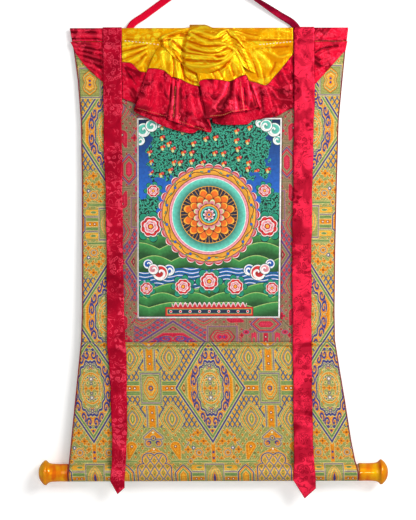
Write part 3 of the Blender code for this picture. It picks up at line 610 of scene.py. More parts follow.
def lay_lower_rows(draft, edge, a, b, c):
    """Stem, flowers, rosette, ruled lines and the framed niche below the lozenge's point."""
    slant = a - 39.0 - (b - 97.0) * 0.63
    outside = (b > 94.0) & (b < 136.0) & (edge > 4.0)
    draft.lay(outside & slant.near(0.0, 3.0), CREAM)
    draft.lay(outside & slant.near(0.0, 1.5), GREY)
    draft.lay((a < 5.6) & b.near(146.0, 24.0), CREAM)
    draft.lay((a < 4.4) & b.near(146.0, 24.0), ORANGE)
    lay_dot(draft, a, b - 146.0, 2.8, INDIGO, INDIGO)
    lay_dot(draft, a, b - 159.5, 2.8, INDIGO, BROWN)
    for across, down, size in (
            (34.0, 101.5, 8.0), (21.5, 121.0, 7.5), (12.5, 140.0, 5.5), (50.5, 119.0, 6.5),
            (58.0, 140.0, 7.5), (46.0, 158.0, 5.5), (18.0, 160.5, 5.0), (36.0, 122.0, 4.5),
            (44.0, 106.0, 4.0), (12.0, 128.0, 4.0)):
        lay_flower(draft, a - across, b - down, size)
    lay_dot(draft, a - 45.0, b - 136.0, 4.2, INDIGO, WHITE)
    lay_rosette(draft, a - 33.0, b - 147.0, 11.5)
    rule = (c > 40.0) & (a > 5.0)
    for place, half, thread in ((167.0, 4.6, CREAM), (168.4, 2.2, LEAF), (164.2, 1.0, SAGE)):
        draft.lay(rule & b.near(place, half), thread)
    offset = abs(b - 212.5)
    block = larger(abs(a - 36.0) / 15.0, offset / 36.0)
    draft.lay(block < 1.0, SAGE)
    draft.lay((block < 1.0) & offset.near(27.0, 6.0), GOLD)
    lay_rings(draft, length_of((a - 34.0) * 0.45, offset - 27.0), ((3.4, CREAM), (2.6, LEAF)))
    for place, half, thread in ((16.8, 2.8, CREAM), (16.6, 1.5, GREY), (11.0, 2.6, LEAF),
                                (3.4, 3.4, CREAM), (2.6, 2.6, ORANGE)):
        draft.lay((block < 1.0) & offset.near(place, half), thread)
    lay_dot(draft, a - 31.0, offset, 3.2, BROWN, WHITE)
    lay_dot(draft, a - 42.0, offset, 3.2, BROWN, WHITE)
    stud = length_of((a - 53.0) * 1.5, b - 168.0)
    lay_rings(draft, stud, ((9.5, CREAM), (8.5, GREY), (6.5, GOLD), (3.0, BROWN)))
    niche = larger(a / 22.0, offset / 38.0)
    lay_rings(draft, niche, ((1.06, CREAM), (1.0, GREY), (0.9, CREAM), (0.86, LEAF), (0.8, SAGE)))
    heart = a / 16.5 + (offset / 32.0).squared()
    lay_rings(draft, heart, ((1.04, CREAM), (0.96, ORANGE), (0.86, CREAM), (0.8, SAGE), (0.7, CREAM),
                             (0.64, GOLD), (0.5, CREAM), (0.44, SAGE), (0.32, ORANGE), (0.18, INDIGO)))
    lay_corner(draft, a - 71.0, b - 178.0)


SCROLL_CELL = math.pi / 8


def lay_scroll_ring(draft, turn, reach, middle, half, coils, thread):
    """Scrolls in pairs round a ring. The turn is folded into cells, and in each cell a scroll is where
    a sine of the angle plus some coils times the distance from the cell's middle is high."""
    across = (turn.fold(SCROLL_CELL) / SCROLL_CELL - 0.5) * 2.0
    down = (reach - middle) / half
    away = length_of(across, down)
    arm = (angle_of(across, down) + away * coils).sin()
    draft.lay((away < 1.0) & (arm > 0.0), thread)


def lay_lozenge(draft, edge, a, b):
    """The lozenge: an orange field with ruled tips, a wavy medallion in a ring of curls and an oval at
    its heart."""
    inside = edge < 0.0
    draft.lay(inside, ORANGE)
    draft.lay(inside & (edge.near(-11.0, 1.0) | a.near(50.5, 1.0)), GOLD)
    for reach, thread in ((52.0, CREAM), (53.2, SAGE), (57.5, CREAM), (58.6, ORANGE)):
        draft.lay(inside & (a > reach), thread)
    lay_rings(draft, length_of((a - 60.5) * 2.4, b) + (1.0 - inside) * 99.0, ((8.0, BROWN),
                                                                              (4.0, CREAM)))
    for reach, thread in ((79.0, GOLD), (84.5, OLIVE), (86.0, CREAM), (88.0, LEAF), (91.5, CREAM),
                          (93.0, ORANGE)):
        draft.lay(inside & (b > reach), thread)
    lay_dot(draft, a, b - 97.5, 2.8, INDIGO, INDIGO)
    lay_dot(draft, a, b - 105.5, 2.4, BROWN, BROWN)
    turn, reach = angle_of(a / 29.0, b / 60.0), length_of(a / 29.0, b / 60.0)
    wavy = reach + (turn * 14.0).sin() * 0.05
    lay_rings(draft, wavy, ((1.13, CREAM), (1.09, INDIGO), (0.99, CREAM), (0.95, LEAF)))
    lines = (reach * 17.0 + (turn * 14.0).sin() * 0.7).fold(0.5)
    draft.lay((wavy < 0.92) & lines.near(0.0, 0.14), CREAM)
    lay_scroll_ring(draft, turn, reach, 0.81, 0.1, 5.0, ORANGE)
    lay_scroll_ring(draft, turn + SCROLL_CELL, reach, 0.79, 0.08, 4.0, CREAM)
    lay_scroll_ring(draft, turn, reach, 1.34, 0.25, 9.0, CREAM)
    lay_scroll_ring(draft, turn, reach, 1.32, 0.23, 8.0, INDIGO)
    lay_scroll_ring(draft, turn + SCROLL_CELL, reach, 1.46, 0.1, 3.0, INDIGO)
    for across, down, radius in ((0.0, 52.0, 4.2), (8.5, 54.5, 3.0), (5.0, 46.5, 2.6),
                                 (14.0, 49.0, 2.8)):
        lay_dot(draft, a - across, b - down, radius, INDIGO, CREAM)
    heart = length_of(a / 24.0, b / 37.0)
    lay_rings(draft, heart, ((1.02, CREAM), (0.97, ORANGE), (0.88, CREAM), (0.83, LEAF), (0.74, CREAM),
                             (0.68, ORANGE), (0.6, SAGE)))
    lay_flower(draft, a - 12.0, b, 4.5)
    lay_flower(draft, a, b, 6.0)
    for across, down, radius, rim, core in (
            (8.5, 12.5, 4.0, CREAM, LEAF), (0.0, 21.5, 5.2, GREY, WHITE),
            (7.5, 25.0, 3.4, CREAM, INDIGO), (14.5, 18.0, 3.6, CREAM, ORANGE),
            (0.0, 11.0, 3.2, INDIGO, CREAM), (0.0, 31.5, 2.8, ORANGE, CREAM),
            (19.0, 8.0, 3.0, CREAM, GREY)):
        lay_dot(draft, a - across, b - down, radius, rim, core)
    for place, half, thread in ((0.2, 4.0, CREAM), (-5.8, 3.4, CREAM), (-5.6, 2.0, LEAF),
                                (0.2, 1.9, INDIGO)):
        draft.lay(edge.near(place, half), thread)


def lay_top_panel(draft, u, v):
    """The framed panel near the side strips' top: a long hexagon in zigzag lines, two knots in it."""
    x, y = abs(abs(u) - 42.0), abs(v - 113.0)
    here = v > 74.0
    size = larger(x / 24.0, y / 34.0)
    lay_rings(draft, size, ((1.1, CREAM), (1.04, GREY), (0.95, CREAM), (0.92, LEAF),
                            (0.86, SAGE)), here)
    waist = (x + (y - 11.0).fold(11.0) * 0.4) / 17.5
    hexagon = larger(waist, (x * 0.75 + y) / 31.0)
    lay_rings(draft, hexagon, ((1.0, OLIVE), (0.94, ORANGE), (0.84, CREAM), (0.79, SAGE),
                               (0.68, ORANGE), (0.56, CREAM), (0.5, GOLD), (0.36, ORANGE)), here)
    draft.lay(here & (length_of(x, y - 4.5) < 2.6), INDIGO)


def make_brocade_figure():
    """The whole figure as a group: flat cloth coordinates in metres in, thread number out."""
    group, start, end = new_group("brocade figure", [("Cloth", "NodeSocketVector", None)],
                                  [("Thread", "NodeSocketFloat")])
    u, v, _ = split(start.outputs["Cloth"])
    u, v = u * 1000.0, v * 1000.0
    a, b = u.fold(REPEAT_ACROSS / 2), v.fold(REPEAT_DOWN / 2)
    c = REPEAT_ACROSS / 2 - a
    edge = (a / LOZENGE_WIDE + b / LOZENGE_HIGH - 1.0) * LOZENGE_SLOPE
    draft = Draft(float(SAGE))
    lay_ground(draft, edge, a, b, c)
    lay_pointed_oval(draft, a, b)
    for lay_part in (lay_column, lay_cloud_head, lay_bud, lay_dome):
        lay_part(draft, b, c)
    lay_lower_rows(draft, edge, a, b, c)
    lay_lozenge(draft, edge, a, b)
    lay_top_panel(draft, u, v)
    fill(group, end, Thread=draft.thread)
    return group


brocade_figure = make_brocade_figure()
print("brocade figure:", len(brocade_figure.nodes), "nodes")

# %% [markdown]
# The red and yellow silks are damasks: the same thread makes satin and matt parts, so the figure
# shows as a change of gloss; its change of colour is painted sheen. It is a loose scatter of clouds
# with drifting lines between them. Each cell of a Voronoi pattern holds one cloud, large or none,
# whose puffs are the discs of a smaller Voronoi pattern. A broad noise paints patches of shade. The
# weave itself is two sets of fine ribs, and soft creases are the ridge lines of two noises.

# %% Cloud-scroll damask and weave, as groups


def make_damask():
    """Mask of clouds from flat cloth coordinates; Size is their spacing in metres. A cloud is a cluster
    of round puffs; the lines that drift between clouds are level lines of a noise. The second output
    gives broad patches of painted shade, from a slow noise."""
    group, start, end = new_group(
        "cloud scroll damask",
        [("Cloth", "NodeSocketVector", None), ("Size", "NodeSocketFloat", 0.03)],
        [("Figure", "NodeSocketFloat"), ("Cloudy", "NodeSocketFloat")])
    scaled = vector_math(group, "DIVIDE", start.outputs["Cloth"], start.outputs["Size"])
    wobble = add_node(group, "TexNoise", Vector=scaled, Scale=1.7, Detail=1.0)
    shifted = vector_math(group, "MULTIPLY_ADD", wobble.outputs["Color"], (0.5, 0.5, 0.0), scaled)
    x, y, turn, kind = nearest_cell(group, shifted, 0.75)
    slanted = x * 0.8 + y * (turn - 0.5) * 1.2
    body = (kind * 0.62 - 0.06 - length_of(slanted, y * 0.7)) * 14.0
    reach = Number(voronoi(group, shifted, 3.0, 0.7).outputs["Distance"])
    filled = smaller((0.44 - reach) * 12.0, (turn - 0.3) * 1.5)
    rings = larger((0.085 - abs(reach - 0.33)) * 16.0, (0.14 - reach) * 12.0)
    cloud = smaller(body, larger(rings, filled))
    tendril = add_node(group, "TexNoise", Vector=scaled, Scale=1.3, Detail=1.0, Distortion=1.6)
    contour = (Number(tendril.outputs["Fac"]) * 5.0).fold(0.5)
    broad = add_node(group, "TexNoise", Vector=scaled, Scale=0.9, Detail=2.0, Distortion=0.8)
    spread = Number(broad.outputs["Fac"])
    # The broad noise paints patches of shade on the silk, and elsewhere lets the drifting lines show.
    cloudy, patchy = clipped((spread - 0.36) * 3.0), clipped((0.62 - spread) * 6.0)
    tails = (0.09 - contour) * 16.0 * patchy
    fill(group, end, Figure=clipped(larger(cloud, smaller(tails, 0.75))), Cloudy=cloudy)
    return group


def make_weave():
    """Height of warp and weft ribs, and a slow unevenness of the threads."""
    group, start, end = new_group(
        "silk weave",
        [("Cloth", "NodeSocketVector", None), ("Rib", "NodeSocketFloat", 0.0005)],
        [("Height", "NodeSocketFloat"), ("Slub", "NodeSocketFloat")])
    u, v, _ = split(start.outputs["Cloth"])
    rib = Number(start.outputs["Rib"])
    height = (u / rib * math.pi).sin() * 0.5 + (v / rib * math.pi).sin() * 0.5
    stretched = vector_math(group, "MULTIPLY", start.outputs["Cloth"], (60.0, 900.0, 1.0))
    slub = add_node(group, "TexNoise", Vector=stretched, Scale=1.0, Detail=2.0)
    fill(group, end, Height=height, Slub=slub.outputs["Fac"])
    return group


def make_creases():
    """Height of soft creases: the ridge lines of two noises, a broad one and a fine one."""
    group, start, end = new_group(
        "pressed creases",
        [("Cloth", "NodeSocketVector", None), ("Size", "NodeSocketFloat", 0.03)],
        [("Height", "NodeSocketFloat")])
    scaled = vector_math(group, "DIVIDE", start.outputs["Cloth"], start.outputs["Size"])
    heights = []
    for finer, warp in ((1.0, 0.9), (2.7, 0.5)):
        noise = add_node(group, "TexNoise", Vector=scaled, Scale=finer, Detail=2.0, Distortion=warp)
        ridge = 1.0 - abs(Number(noise.outputs["Fac"]) * 2.0 - 1.0) * 2.2
        heights.append(larger(ridge, 0.0) * (1.0 / finer))
    fill(group, end, Height=heights[0] + heights[1])
    return group


creases = make_creases()
damask = make_damask()
weave = make_weave()
print("damask:", len(damask.nodes), "nodes; weave:", len(weave.nodes), "nodes")

# %% [markdown]
# Finishes. Every cloth is a Principled material that reads the piece's own UV map. The groups give
# it changing colours and heights; what is the same all over is set on the shader's own sockets. The
# silks are painted lighter on ridges and in shade in troughs, and the two ribbons are shaded and
# lit copies of one damask; the canvas and brocades have plain backs.

# %% Materials


def srgb(red, green, blue):
    """A colour given as it looks on a screen (0 to 255), as the linear values a shader takes."""
    values = np.array([red, green, blue]) / 255.0
    linear = np.where(values <= 0.04045, values / 12.92, ((values + 0.055) / 1.055) ** 2.4)
    return (*[float(value) for value in linear], 1.0)


def bare_material(name, **values):
    """A material, its node tree and its shader, whose inputs are set by name."""
    material = bpy.data.materials.new(name)
    material.use_nodes = True
    tree = Number.tree = material.node_tree
    return material, tree, fill(tree, tree.nodes["Principled BSDF"], **values)


def flat_coordinates(tree):
    """The piece's flat cloth coordinates, from its UV map."""
    layer = tree.nodes.new("ShaderNodeUVMap")
    layer.uv_map = "cloth"
    return layer.outputs[0]


def new_material(name, roughness, specular, metallic=0.0):
    """A cloth's material, its tree and shader, and the flat cloth coordinates."""
    material, tree, shader = bare_material(name, Roughness=roughness, Metallic=metallic,
                                           Specular_IOR_Level=specular)
    return material, tree, shader, flat_coordinates(tree)


def ramp(tree, factor, stops, constant=False):
    """A colour ramp on a Number or a socket; stops are (place, colour)."""
    node = tree.nodes.new("ShaderNodeValToRGB")
    node.color_ramp.interpolation = "CONSTANT" if constant else "LINEAR"
    elements = node.color_ramp.elements
    elements[0].position, elements[0].color = stops[0]
    elements[1].position, elements[1].color = stops[1]
    for position, colour in stops[2:]:
        elements.new(position).color = colour
    plug(tree, factor, node.inputs[0])
    return node.outputs[0]


def dyed(tree, thread, colours):
    """Gives each thread number its colour from a list: a ramp with one step for each."""
    steps = len(colours) + 1
    return ramp(tree, (thread + 0.5) / steps,
                [(index / steps, colour) for index, colour in enumerate(colours)], constant=True)


def mix_colours(tree, factor, first, second, blend="MIX"):
    """Mixes two colours by a factor; each is a value, a Number or a socket."""
    node = tree.nodes.new("ShaderNodeMix")
    node.data_type = "RGBA"
    node.blend_type = blend
    for place, value in ((0, factor), (6, first), (7, second)):
        plug(tree, value, node.inputs[place])
    return node.outputs[2]


def add_bump(tree, shader, height, strength, distance):
    """Relief from a height, a Number or a socket."""
    bump = add_node(tree, "Bump", Strength=strength, Distance=distance, Height=height)
    fill(tree, shader, Normal=bump.outputs[0])


def make_brocade(name, dyes, roughness):
    """A brocade: the figure's threads dyed by a ramp, uneven from thread to thread, with painted glints
    a few millimetres apart."""
    material, tree, shader, flat = new_material(name, roughness, 0.25, metallic=0.25)
    figure = place_group(tree, brocade_figure, Cloth=flat)
    ribs = place_group(tree, weave, Cloth=flat, Rib=0.0006)
    threads = dyed(tree, Number(figure.outputs["Thread"]), [dyes[index] for index in range(THREADS)])
    painted_glints = add_node(tree, "TexNoise", Vector=flat, Scale=420.0, Detail=2.0)
    # The threads' slub and the painted glints together make them lighter or darker.
    uneven = Number(ribs.outputs["Slub"]) * 0.5 + Number(painted_glints.outputs["Fac"]) * 0.5
    shades = ramp(tree, uneven, [(0.38, (0.66, 0.64, 0.62, 1.0)), (0.62, (1.34, 1.3, 1.22, 1.0))])
    fill(tree, shader, Base_Color=mix_colours(tree, 1.0, threads, shades, "MULTIPLY"))
    add_bump(tree, shader, Number(ribs.outputs["Height"]) + uneven * 2.0, 0.4, 0.0003)
    return material


def make_silk(name, matt, satin, deep, size, roughness, figured, shaded, crisp):
    """A damask silk. The figure takes the satin's colour by a share, as painted sheen, which may be
    lighter or darker than the matt ground. The ridges of folds take it too, as painted highlight, and
    troughs and broad patches of painted shade, whose edges are more or less crisp, take the deep
    colour."""
    material, tree, shader, flat = new_material(name, roughness, 0.05, metallic=0.4)
    scrolls = place_group(tree, damask, Cloth=flat, Size=size)
    ribs = place_group(tree, weave, Cloth=flat, Rib=0.0005)
    # The "fold" mark of each point paints shade and light: troughs take the deep colour as painted
    # shade, ridges the satin colour as painted highlight.
    shade_and_highlight_mark = tree.nodes.new("ShaderNodeAttribute")
    shade_and_highlight_mark.attribute_name = "fold"
    fold = Number(shade_and_highlight_mark.outputs["Fac"])
    trough, ridge = larger(fold * -1.0, 0.0), larger(fold, 0.0)
    figure = Number(scrolls.outputs["Figure"])
    broad = clipped((Number(scrolls.outputs["Cloudy"]) - 0.5) * crisp + 0.5)
    ground = mix_colours(tree, smaller(broad * shaded + trough, 1.0), matt, deep)
    light = smaller(figure * figured + ridge * 0.5, 1.0) * (1.0 - trough * 0.7)
    fill(tree, shader, Base_Color=mix_colours(tree, light, ground, satin),
         Roughness=roughness - figure * 0.1)
    folds = place_group(tree, creases, Cloth=flat, Size=0.040)
    height = Number(ribs.outputs["Height"]) * 0.05 + figure * 0.2
    height = height + Number(folds.outputs["Height"]) * 0.6
    add_bump(tree, shader, height, 0.45, 0.0012)
    return material


GOLD_DYES = {
    SAGE: srgb(152, 152, 84), OLIVE: srgb(112, 110, 54), ORANGE: srgb(218, 134, 10),
    GOLD: srgb(228, 166, 46), CREAM: srgb(202, 188, 120), INDIGO: srgb(62, 62, 132),
    GREY: srgb(130, 118, 132), BROWN: srgb(136, 70, 28), LEAF: srgb(108, 142, 80),
    WHITE: srgb(228, 222, 208),
}
BORDER_DYES = {
    SAGE: srgb(134, 108, 82), OLIVE: srgb(112, 78, 70), ORANGE: srgb(190, 20, 56),
    GOLD: srgb(204, 46, 78), CREAM: srgb(160, 132, 106), INDIGO: srgb(98, 60, 130),
    GREY: srgb(132, 84, 122), BROWN: srgb(122, 26, 50), LEAF: srgb(122, 112, 82),
    WHITE: srgb(206, 180, 166),
}
gold_brocade = make_brocade("gold brocade", GOLD_DYES, 0.45)
border_brocade = make_brocade("border brocade", BORDER_DYES, 0.5)
# matt colour, satin colour for the figure's painted sheen and the folds' painted highlights, deep
# colour for painted shade, size of the figure, roughness, shares figured and shaded, crispness
red_damask = make_silk(
    "red damask", srgb(212, 10, 46), srgb(252, 60, 88), srgb(104, 0, 16), 0.036, 0.36, 0.7, 0.8, 2.6)
ribbon_damask = make_silk(
    "ribbon damask", srgb(196, 12, 46), srgb(252, 70, 98), srgb(122, 0, 24), 0.036, 0.38,
    0.95, 0.4, 1.0)
# The right ribbon's copy of the damask is painted as lit: a lighter ground, and a figure painted darker
# as sheen turned away.
ribbon_damask_painted_lit = make_silk(
    "ribbon damask, painted lit", srgb(244, 40, 74), srgb(128, 0, 24), srgb(140, 2, 28), 0.042, 0.38,
    0.9, 0.6, 3.2)
yellow_silk = make_silk(
    "yellow silk", srgb(240, 168, 0), srgb(255, 232, 44), srgb(198, 100, 0), 0.034, 0.32,
    0.95, 0.5, 1.6)
red_tape = make_silk(
    "red tape", srgb(226, 6, 46), srgb(250, 30, 70), srgb(104, 0, 34), 0.020, 0.42, 0.0, 0.15, 1.0)


def make_plain(name, colour, shade, roughness, rib):
    """Plain woven cloth in one colour with a slight unevenness."""
    material, tree, shader, flat = new_material(name, roughness, 0.4)
    ribs = place_group(tree, weave, Cloth=flat, Rib=rib)
    fill(tree, shader, Base_Color=mix_colours(tree, ribs.outputs["Slub"], colour, shade))
    add_bump(tree, shader, ribs.outputs["Height"], 0.6, 0.0004)
    return material


red_binding = make_plain("red binding", srgb(158, 34, 44), srgb(108, 18, 30), 0.6, 0.0008)
canvas_back = make_plain("canvas back", srgb(226, 216, 194), srgb(190, 176, 150), 0.8, 0.0007)
gold_back = make_plain("gold brocade back", srgb(168, 150, 84), srgb(112, 104, 62), 0.6, 0.0006)
border_back = make_plain("border brocade back", srgb(150, 84, 84), srgb(104, 66, 66), 0.6, 0.0006)

# %% [markdown]
# The canvas. Its picture is a design of the usual kind for such a scroll: a round diagram of rings
# and lotus petals over a ground of leaves and fruit, with cloud scrolls, peonies and green hills.
# Rings are ranges of the distance from a centre, and petals repeat with the angle round it.

# %% The painting on the canvas
CANVAS_MIDDLE = (PAINTING_LEFT + (PAINTING_RIGHT_TOP + PAINTING_RIGHT_BOTTOM) / 2) / 2 / MM
CANVAS_TOP, CANVAS_BOTTOM = PAINTING_TOP / MM, PAINTING_BOTTOM / MM
ROUNDEL_Z = -563.0
PAINTS = (
    ("night", srgb(34, 44, 70)), ("black", srgb(14, 30, 30)), ("leaf", srgb(22, 140, 108)),
    ("deep leaf", srgb(10, 84, 66)), ("hill", srgb(58, 140, 70)), ("light hill", srgb(150, 186, 104)),
    ("white", srgb(238, 238, 236)), ("red", srgb(206, 42, 44)), ("deep red", srgb(150, 20, 30)),
    ("orange", srgb(236, 108, 26)), ("amber", srgb(238, 166, 50)), ("teal", srgb(96, 196, 176)),
    ("deep teal", srgb(14, 110, 96)), ("blue", srgb(28, 92, 180)), ("pink", srgb(236, 150, 160)),
    ("dark line", srgb(96, 40, 20)), ("pale", srgb(206, 214, 150)),
)
PAINT = {name: index for index, (name, _) in enumerate(PAINTS)}


class Picture:
    """Layers of paint: for every place the number of a paint, and how light it is laid on."""

    def __init__(self, paint):
        self.paints, self.shades = Draft(float(PAINT[paint])), Draft(1.0)

    def lay(self, shape, paint, shade=1.0):
        self.paints.lay(shape, float(PAINT[paint]))
        self.shades.lay(shape, shade)


def between(value, low, high):
    """0 where the value is low, 1 where it is high, straight between and held outside."""
    return clipped((value - low) / (high - low))


def petals(turn, reach, count, inner, outer, shift=0.0):
    """How far up a ring of petals a place is, 1 at their tips: the distance past the inner ring
    over a height that falls from the middle of each petal to its sides."""
    side = (turn * (count / (2 * math.pi)) + shift).fold(0.5) * 2.0
    height = Number.made("SQRT", larger(1.0 - side.squared(), 0.001)) * (outer - inner)
    return (reach - inner) / height


def lay_petal_ring(picture, turn, reach, count, inner, outer, shift, colours):
    """One ring of petals with nested colours, each smaller than the last and darker to its foot."""
    size = petals(turn, reach, count, inner, outer, shift)
    shade = between(reach, inner, outer) * 0.75 + 0.5
    for limit, paint in colours:
        picture.lay((size < limit) & (reach > inner), paint, shade)


def lay_peony(picture, x, z, radius):
    """A round flower on a star of leaves: lobed rings of red, white and pink, darker between petals."""
    turn, reach = angle_of(x, z), length_of(x, z) / radius
    lay_petal_ring(picture, turn, reach, 7, 0.6, 1.5, 0.25, ((1.0, "black"), (0.9, "leaf"),
                                                             (0.3, "hill")))
    outer, inner = (turn * 4.0).sin(), (turn * 3.0 + 0.8).sin()
    wavy = reach * (1.0 + (1.0 - abs(outer)) * 0.14)
    frilled = reach * (1.0 + (1.0 - abs(inner)) * 0.2)
    folds = abs(outer) * 0.5 + 0.6
    for limit, shape, paint, shade in (
            (1.03, wavy, "deep red", 0.5), (0.98, wavy, "white", 1.0), (0.9, wavy, "red", folds),
            (0.66, frilled, "white", 1.0), (0.58, frilled, "pink", abs(inner) * 0.5 + 0.6),
            (0.36, frilled, "white", 1.0), (0.3, frilled, "red", 0.8), (0.16, reach, "amber", 1.1)):
        picture.lay(shape < limit, paint, shade)


def lay_cloud(picture, x, z, radius, paint):
    """A puff with a dark outline, white rim, a body that pales downwards and a spiral line."""
    away = length_of(x, z)
    swirl = (angle_of(x, z) + away * (7.0 / radius)).sin()
    picture.lay(away < radius, "deep teal", 0.5)
    picture.lay(away < radius - 1.4, "white")
    picture.lay((away < radius - 4.0) & (swirl < 0.5), paint, between(away, 0.0, radius) * 0.7 + 0.55)
    picture.lay((away < radius - 4.0) & swirl.near(0.75, 0.25), "white")


def cells_of(tree, x, z, size, randomness):
    """The nearest of cells of a size: x and z from its centre, in cell sizes, and two random
    numbers."""
    joined = add_node(tree, "CombineXYZ", X=x / size, Y=z / size)
    return nearest_cell(tree, joined.outputs[0], randomness)


def lay_foliage(picture, tree, region, x, z, size, paint):
    """Pointed leaves, one in each cell, turned at random, with a lighter rib."""
    across, down, turn, kind = cells_of(tree, x, z, size, 1.0)
    angle = turn * 6.28
    cosine, sine = (angle + math.pi / 2).sin(), angle.sin()
    along, beside = across * cosine + down * sine, abs(across * sine - down * cosine)
    leaf = (along / 0.62).squared() + beside / 0.3
    picture.lay(region & (leaf < 1.0), paint, kind * 0.7 + 0.6)
    picture.lay(region & (leaf < 0.8) & (beside < 0.05), "teal", 0.9)


def lay_fruit(picture, tree, region, x, z):
    """Small clusters: two round fruits, a green one and a glint on each."""
    across, down, kind, other = cells_of(tree, x, z, 25.0, 0.75)
    here = region & (kind > 0.3)
    for right, up, radius, paint in (
            (0.0, 0.0, 0.17, "black"), (0.2, 0.1, 0.17, "black"), (0.06, -0.17, 0.16, "black"),
            (0.0, 0.0, 0.14, "orange"), (0.2, 0.1, 0.14, "red"), (0.06, -0.17, 0.13, "pale"),
            (0.03, 0.04, 0.05, "amber"), (0.23, 0.14, 0.045, "pink")):
        picture.lay(here & (length_of(across - right, down - up) < radius), paint)


BAND_MIDDLE = 99.5           # mm from the roundel's centre to the middle of its amber band


def lay_roundel(picture, x, down):
    """Rings and two rings of lotus petals round a small flower: all from a reach and a turn."""
    turn, reach = angle_of(x, down), length_of(x, down)
    lay_petal_ring(picture, turn, reach, 32, 106.0, 119.0, 0.0,
                   ((1.0, "dark line"), (0.9, "white"), (0.78, "red"), (0.5, "pink")))
    vine = reach - BAND_MIDDLE - (turn * 14.0).sin() * 3.2
    gem = length_of(reach - BAND_MIDDLE, (turn * BAND_MIDDLE).fold(math.pi * BAND_MIDDLE / 14))
    picture.lay(reach < 108.0, "dark line")
    picture.lay(reach < 106.8, "amber", between(reach, 92.0, 107.0) * 0.4 + 0.75)
    picture.lay((reach < 106.8) & vine.near(0.0, 0.9), "dark line")
    picture.lay((reach < 106.8) & ((turn * 28.0).sin() > 0.5) & vine.near(3.0, 1.3), "leaf")
    picture.lay(gem < 3.6, "dark line")
    picture.lay(gem < 2.8, "blue", 1.2)
    picture.lay(reach < 92.5, "dark line")
    picture.lay(reach < 91.0, "pink", between(reach, 84.0, 91.0) * 0.5 + 0.7)
    picture.lay(reach < 85.5, "white")
    picture.lay(reach < 84.0, "teal", between(reach, 64.0, 84.0) * 1.0 + 0.25)
    picture.lay(reach < 66.0, "amber")
    picture.lay(reach < 64.6, "night", 0.8)
    rays = (turn + (reach / 9.0).sin() * 0.012).fold(math.pi / 48)
    picture.lay((reach < 64.6) & (rays < 0.009), "amber", 0.85)
    for inner, outer, shift, colours in (
            (26.0, 62.0, 0.5, ((0.94, "amber"), (0.84, "orange"), (0.42, "deep red"))),
            (24.0, 50.0, 0.0, ((0.92, "amber"), (0.8, "orange"), (0.36, "red"))),
            (20.0, 38.0, 0.5, ((0.9, "pale"), (0.72, "pink"), (0.36, "red")))):
        lay_petal_ring(picture, turn, reach, 12, inner, outer, shift, ((1.0, "dark line"), *colours))
    for limit, paint in ((25.0, "dark line"), (23.8, "amber"), (20.5, "deep red"), (19.0, "teal"),
                         (15.5, "deep teal"), (14.0, "night")):
        picture.lay(reach < limit, paint)
    lay_petal_ring(picture, turn, reach, 8, 3.0, 13.5, 0.0, ((1.0, "white"), (0.8, "pink"),
                                                             (0.45, "red")))
    picture.lay(reach < 5.0, "amber")
    picture.lay(reach < 3.0, "blue")


def lay_hills(picture, x, near, z):
    """Rows of round hills, each pale at its rim and darker downwards, with a brook of waves between."""
    # height of the row (mm), length of its hills, shift, their height
    for height, length, shift, rise in (
            (-618.0, 34.0, 0.0, 13.0), (-640.0, 47.0, 20.0, 15.0), (-668.0, 39.0, 9.0, 13.0),
            (-733.0, 52.0, 30.0, 14.0), (-752.0, 36.0, 0.0, 12.0), (-774.0, 60.0, 18.0, 12.0)):
        rim = abs(((x + shift) / length * (math.pi / 2)).sin()) * rise + height
        below = rim - z
        hill = below > 0.0
        picture.lay(hill, "black")
        picture.lay(below > 1.0, "light hill", 1.1)
        picture.lay(below > 3.0, "hill", 1.25 - between(below, 0.0, 26.0) * 0.95)
        if height == -668.0:
            brook = (z < -690.0 + (near / 31.0).sin() * 5.0)
            crest = (x / 8.5).sin() * 2.2 + z * 1.0
            picture.lay(brook, "deep teal", 0.7)
            paler = between(-690.0 - z, 0.0, 45.0) * 0.5
            picture.lay(brook & (crest.fold(4.4) < 3.4), "blue", 1.1 - paler)
            picture.lay(brook & (crest.fold(4.4) < 0.8), "white")


PLINTH_Z = -785.0


def lay_plinth(picture, x, near, z):
    """A low bench with two rows of lotus petals and a row of gems."""
    row = x.fold(5.5)
    for half, width, paint in ((10.5, 101.0, "dark line"), (9.6, 100.0, "red"), (6.4, 97.0, "amber"),
                               (5.4, 96.0, "deep teal"), (3.4, 94.0, "night")):
        picture.lay(abs(z - PLINTH_Z).near(0.0, half) & (near < width), paint)
    gem = length_of(x.fold(11.0), z - PLINTH_Z)
    picture.lay((gem < 3.2) & (near < 92.0), "white")
    picture.lay((gem < 2.4) & (near < 92.0), "red", 1.2)
    petal = (z + 774.5 + row * row * 0.34) / 12.0
    for limit, paint, shade in ((1.0, "dark line", 1.0), (0.9, "white", 1.0), (0.72, "pink", 0.9),
                                (0.45, "red", 0.9)):
        picture.lay((petal > -0.6) & (petal < limit) & (z > -774.5) & (near < 86.0), paint, shade)


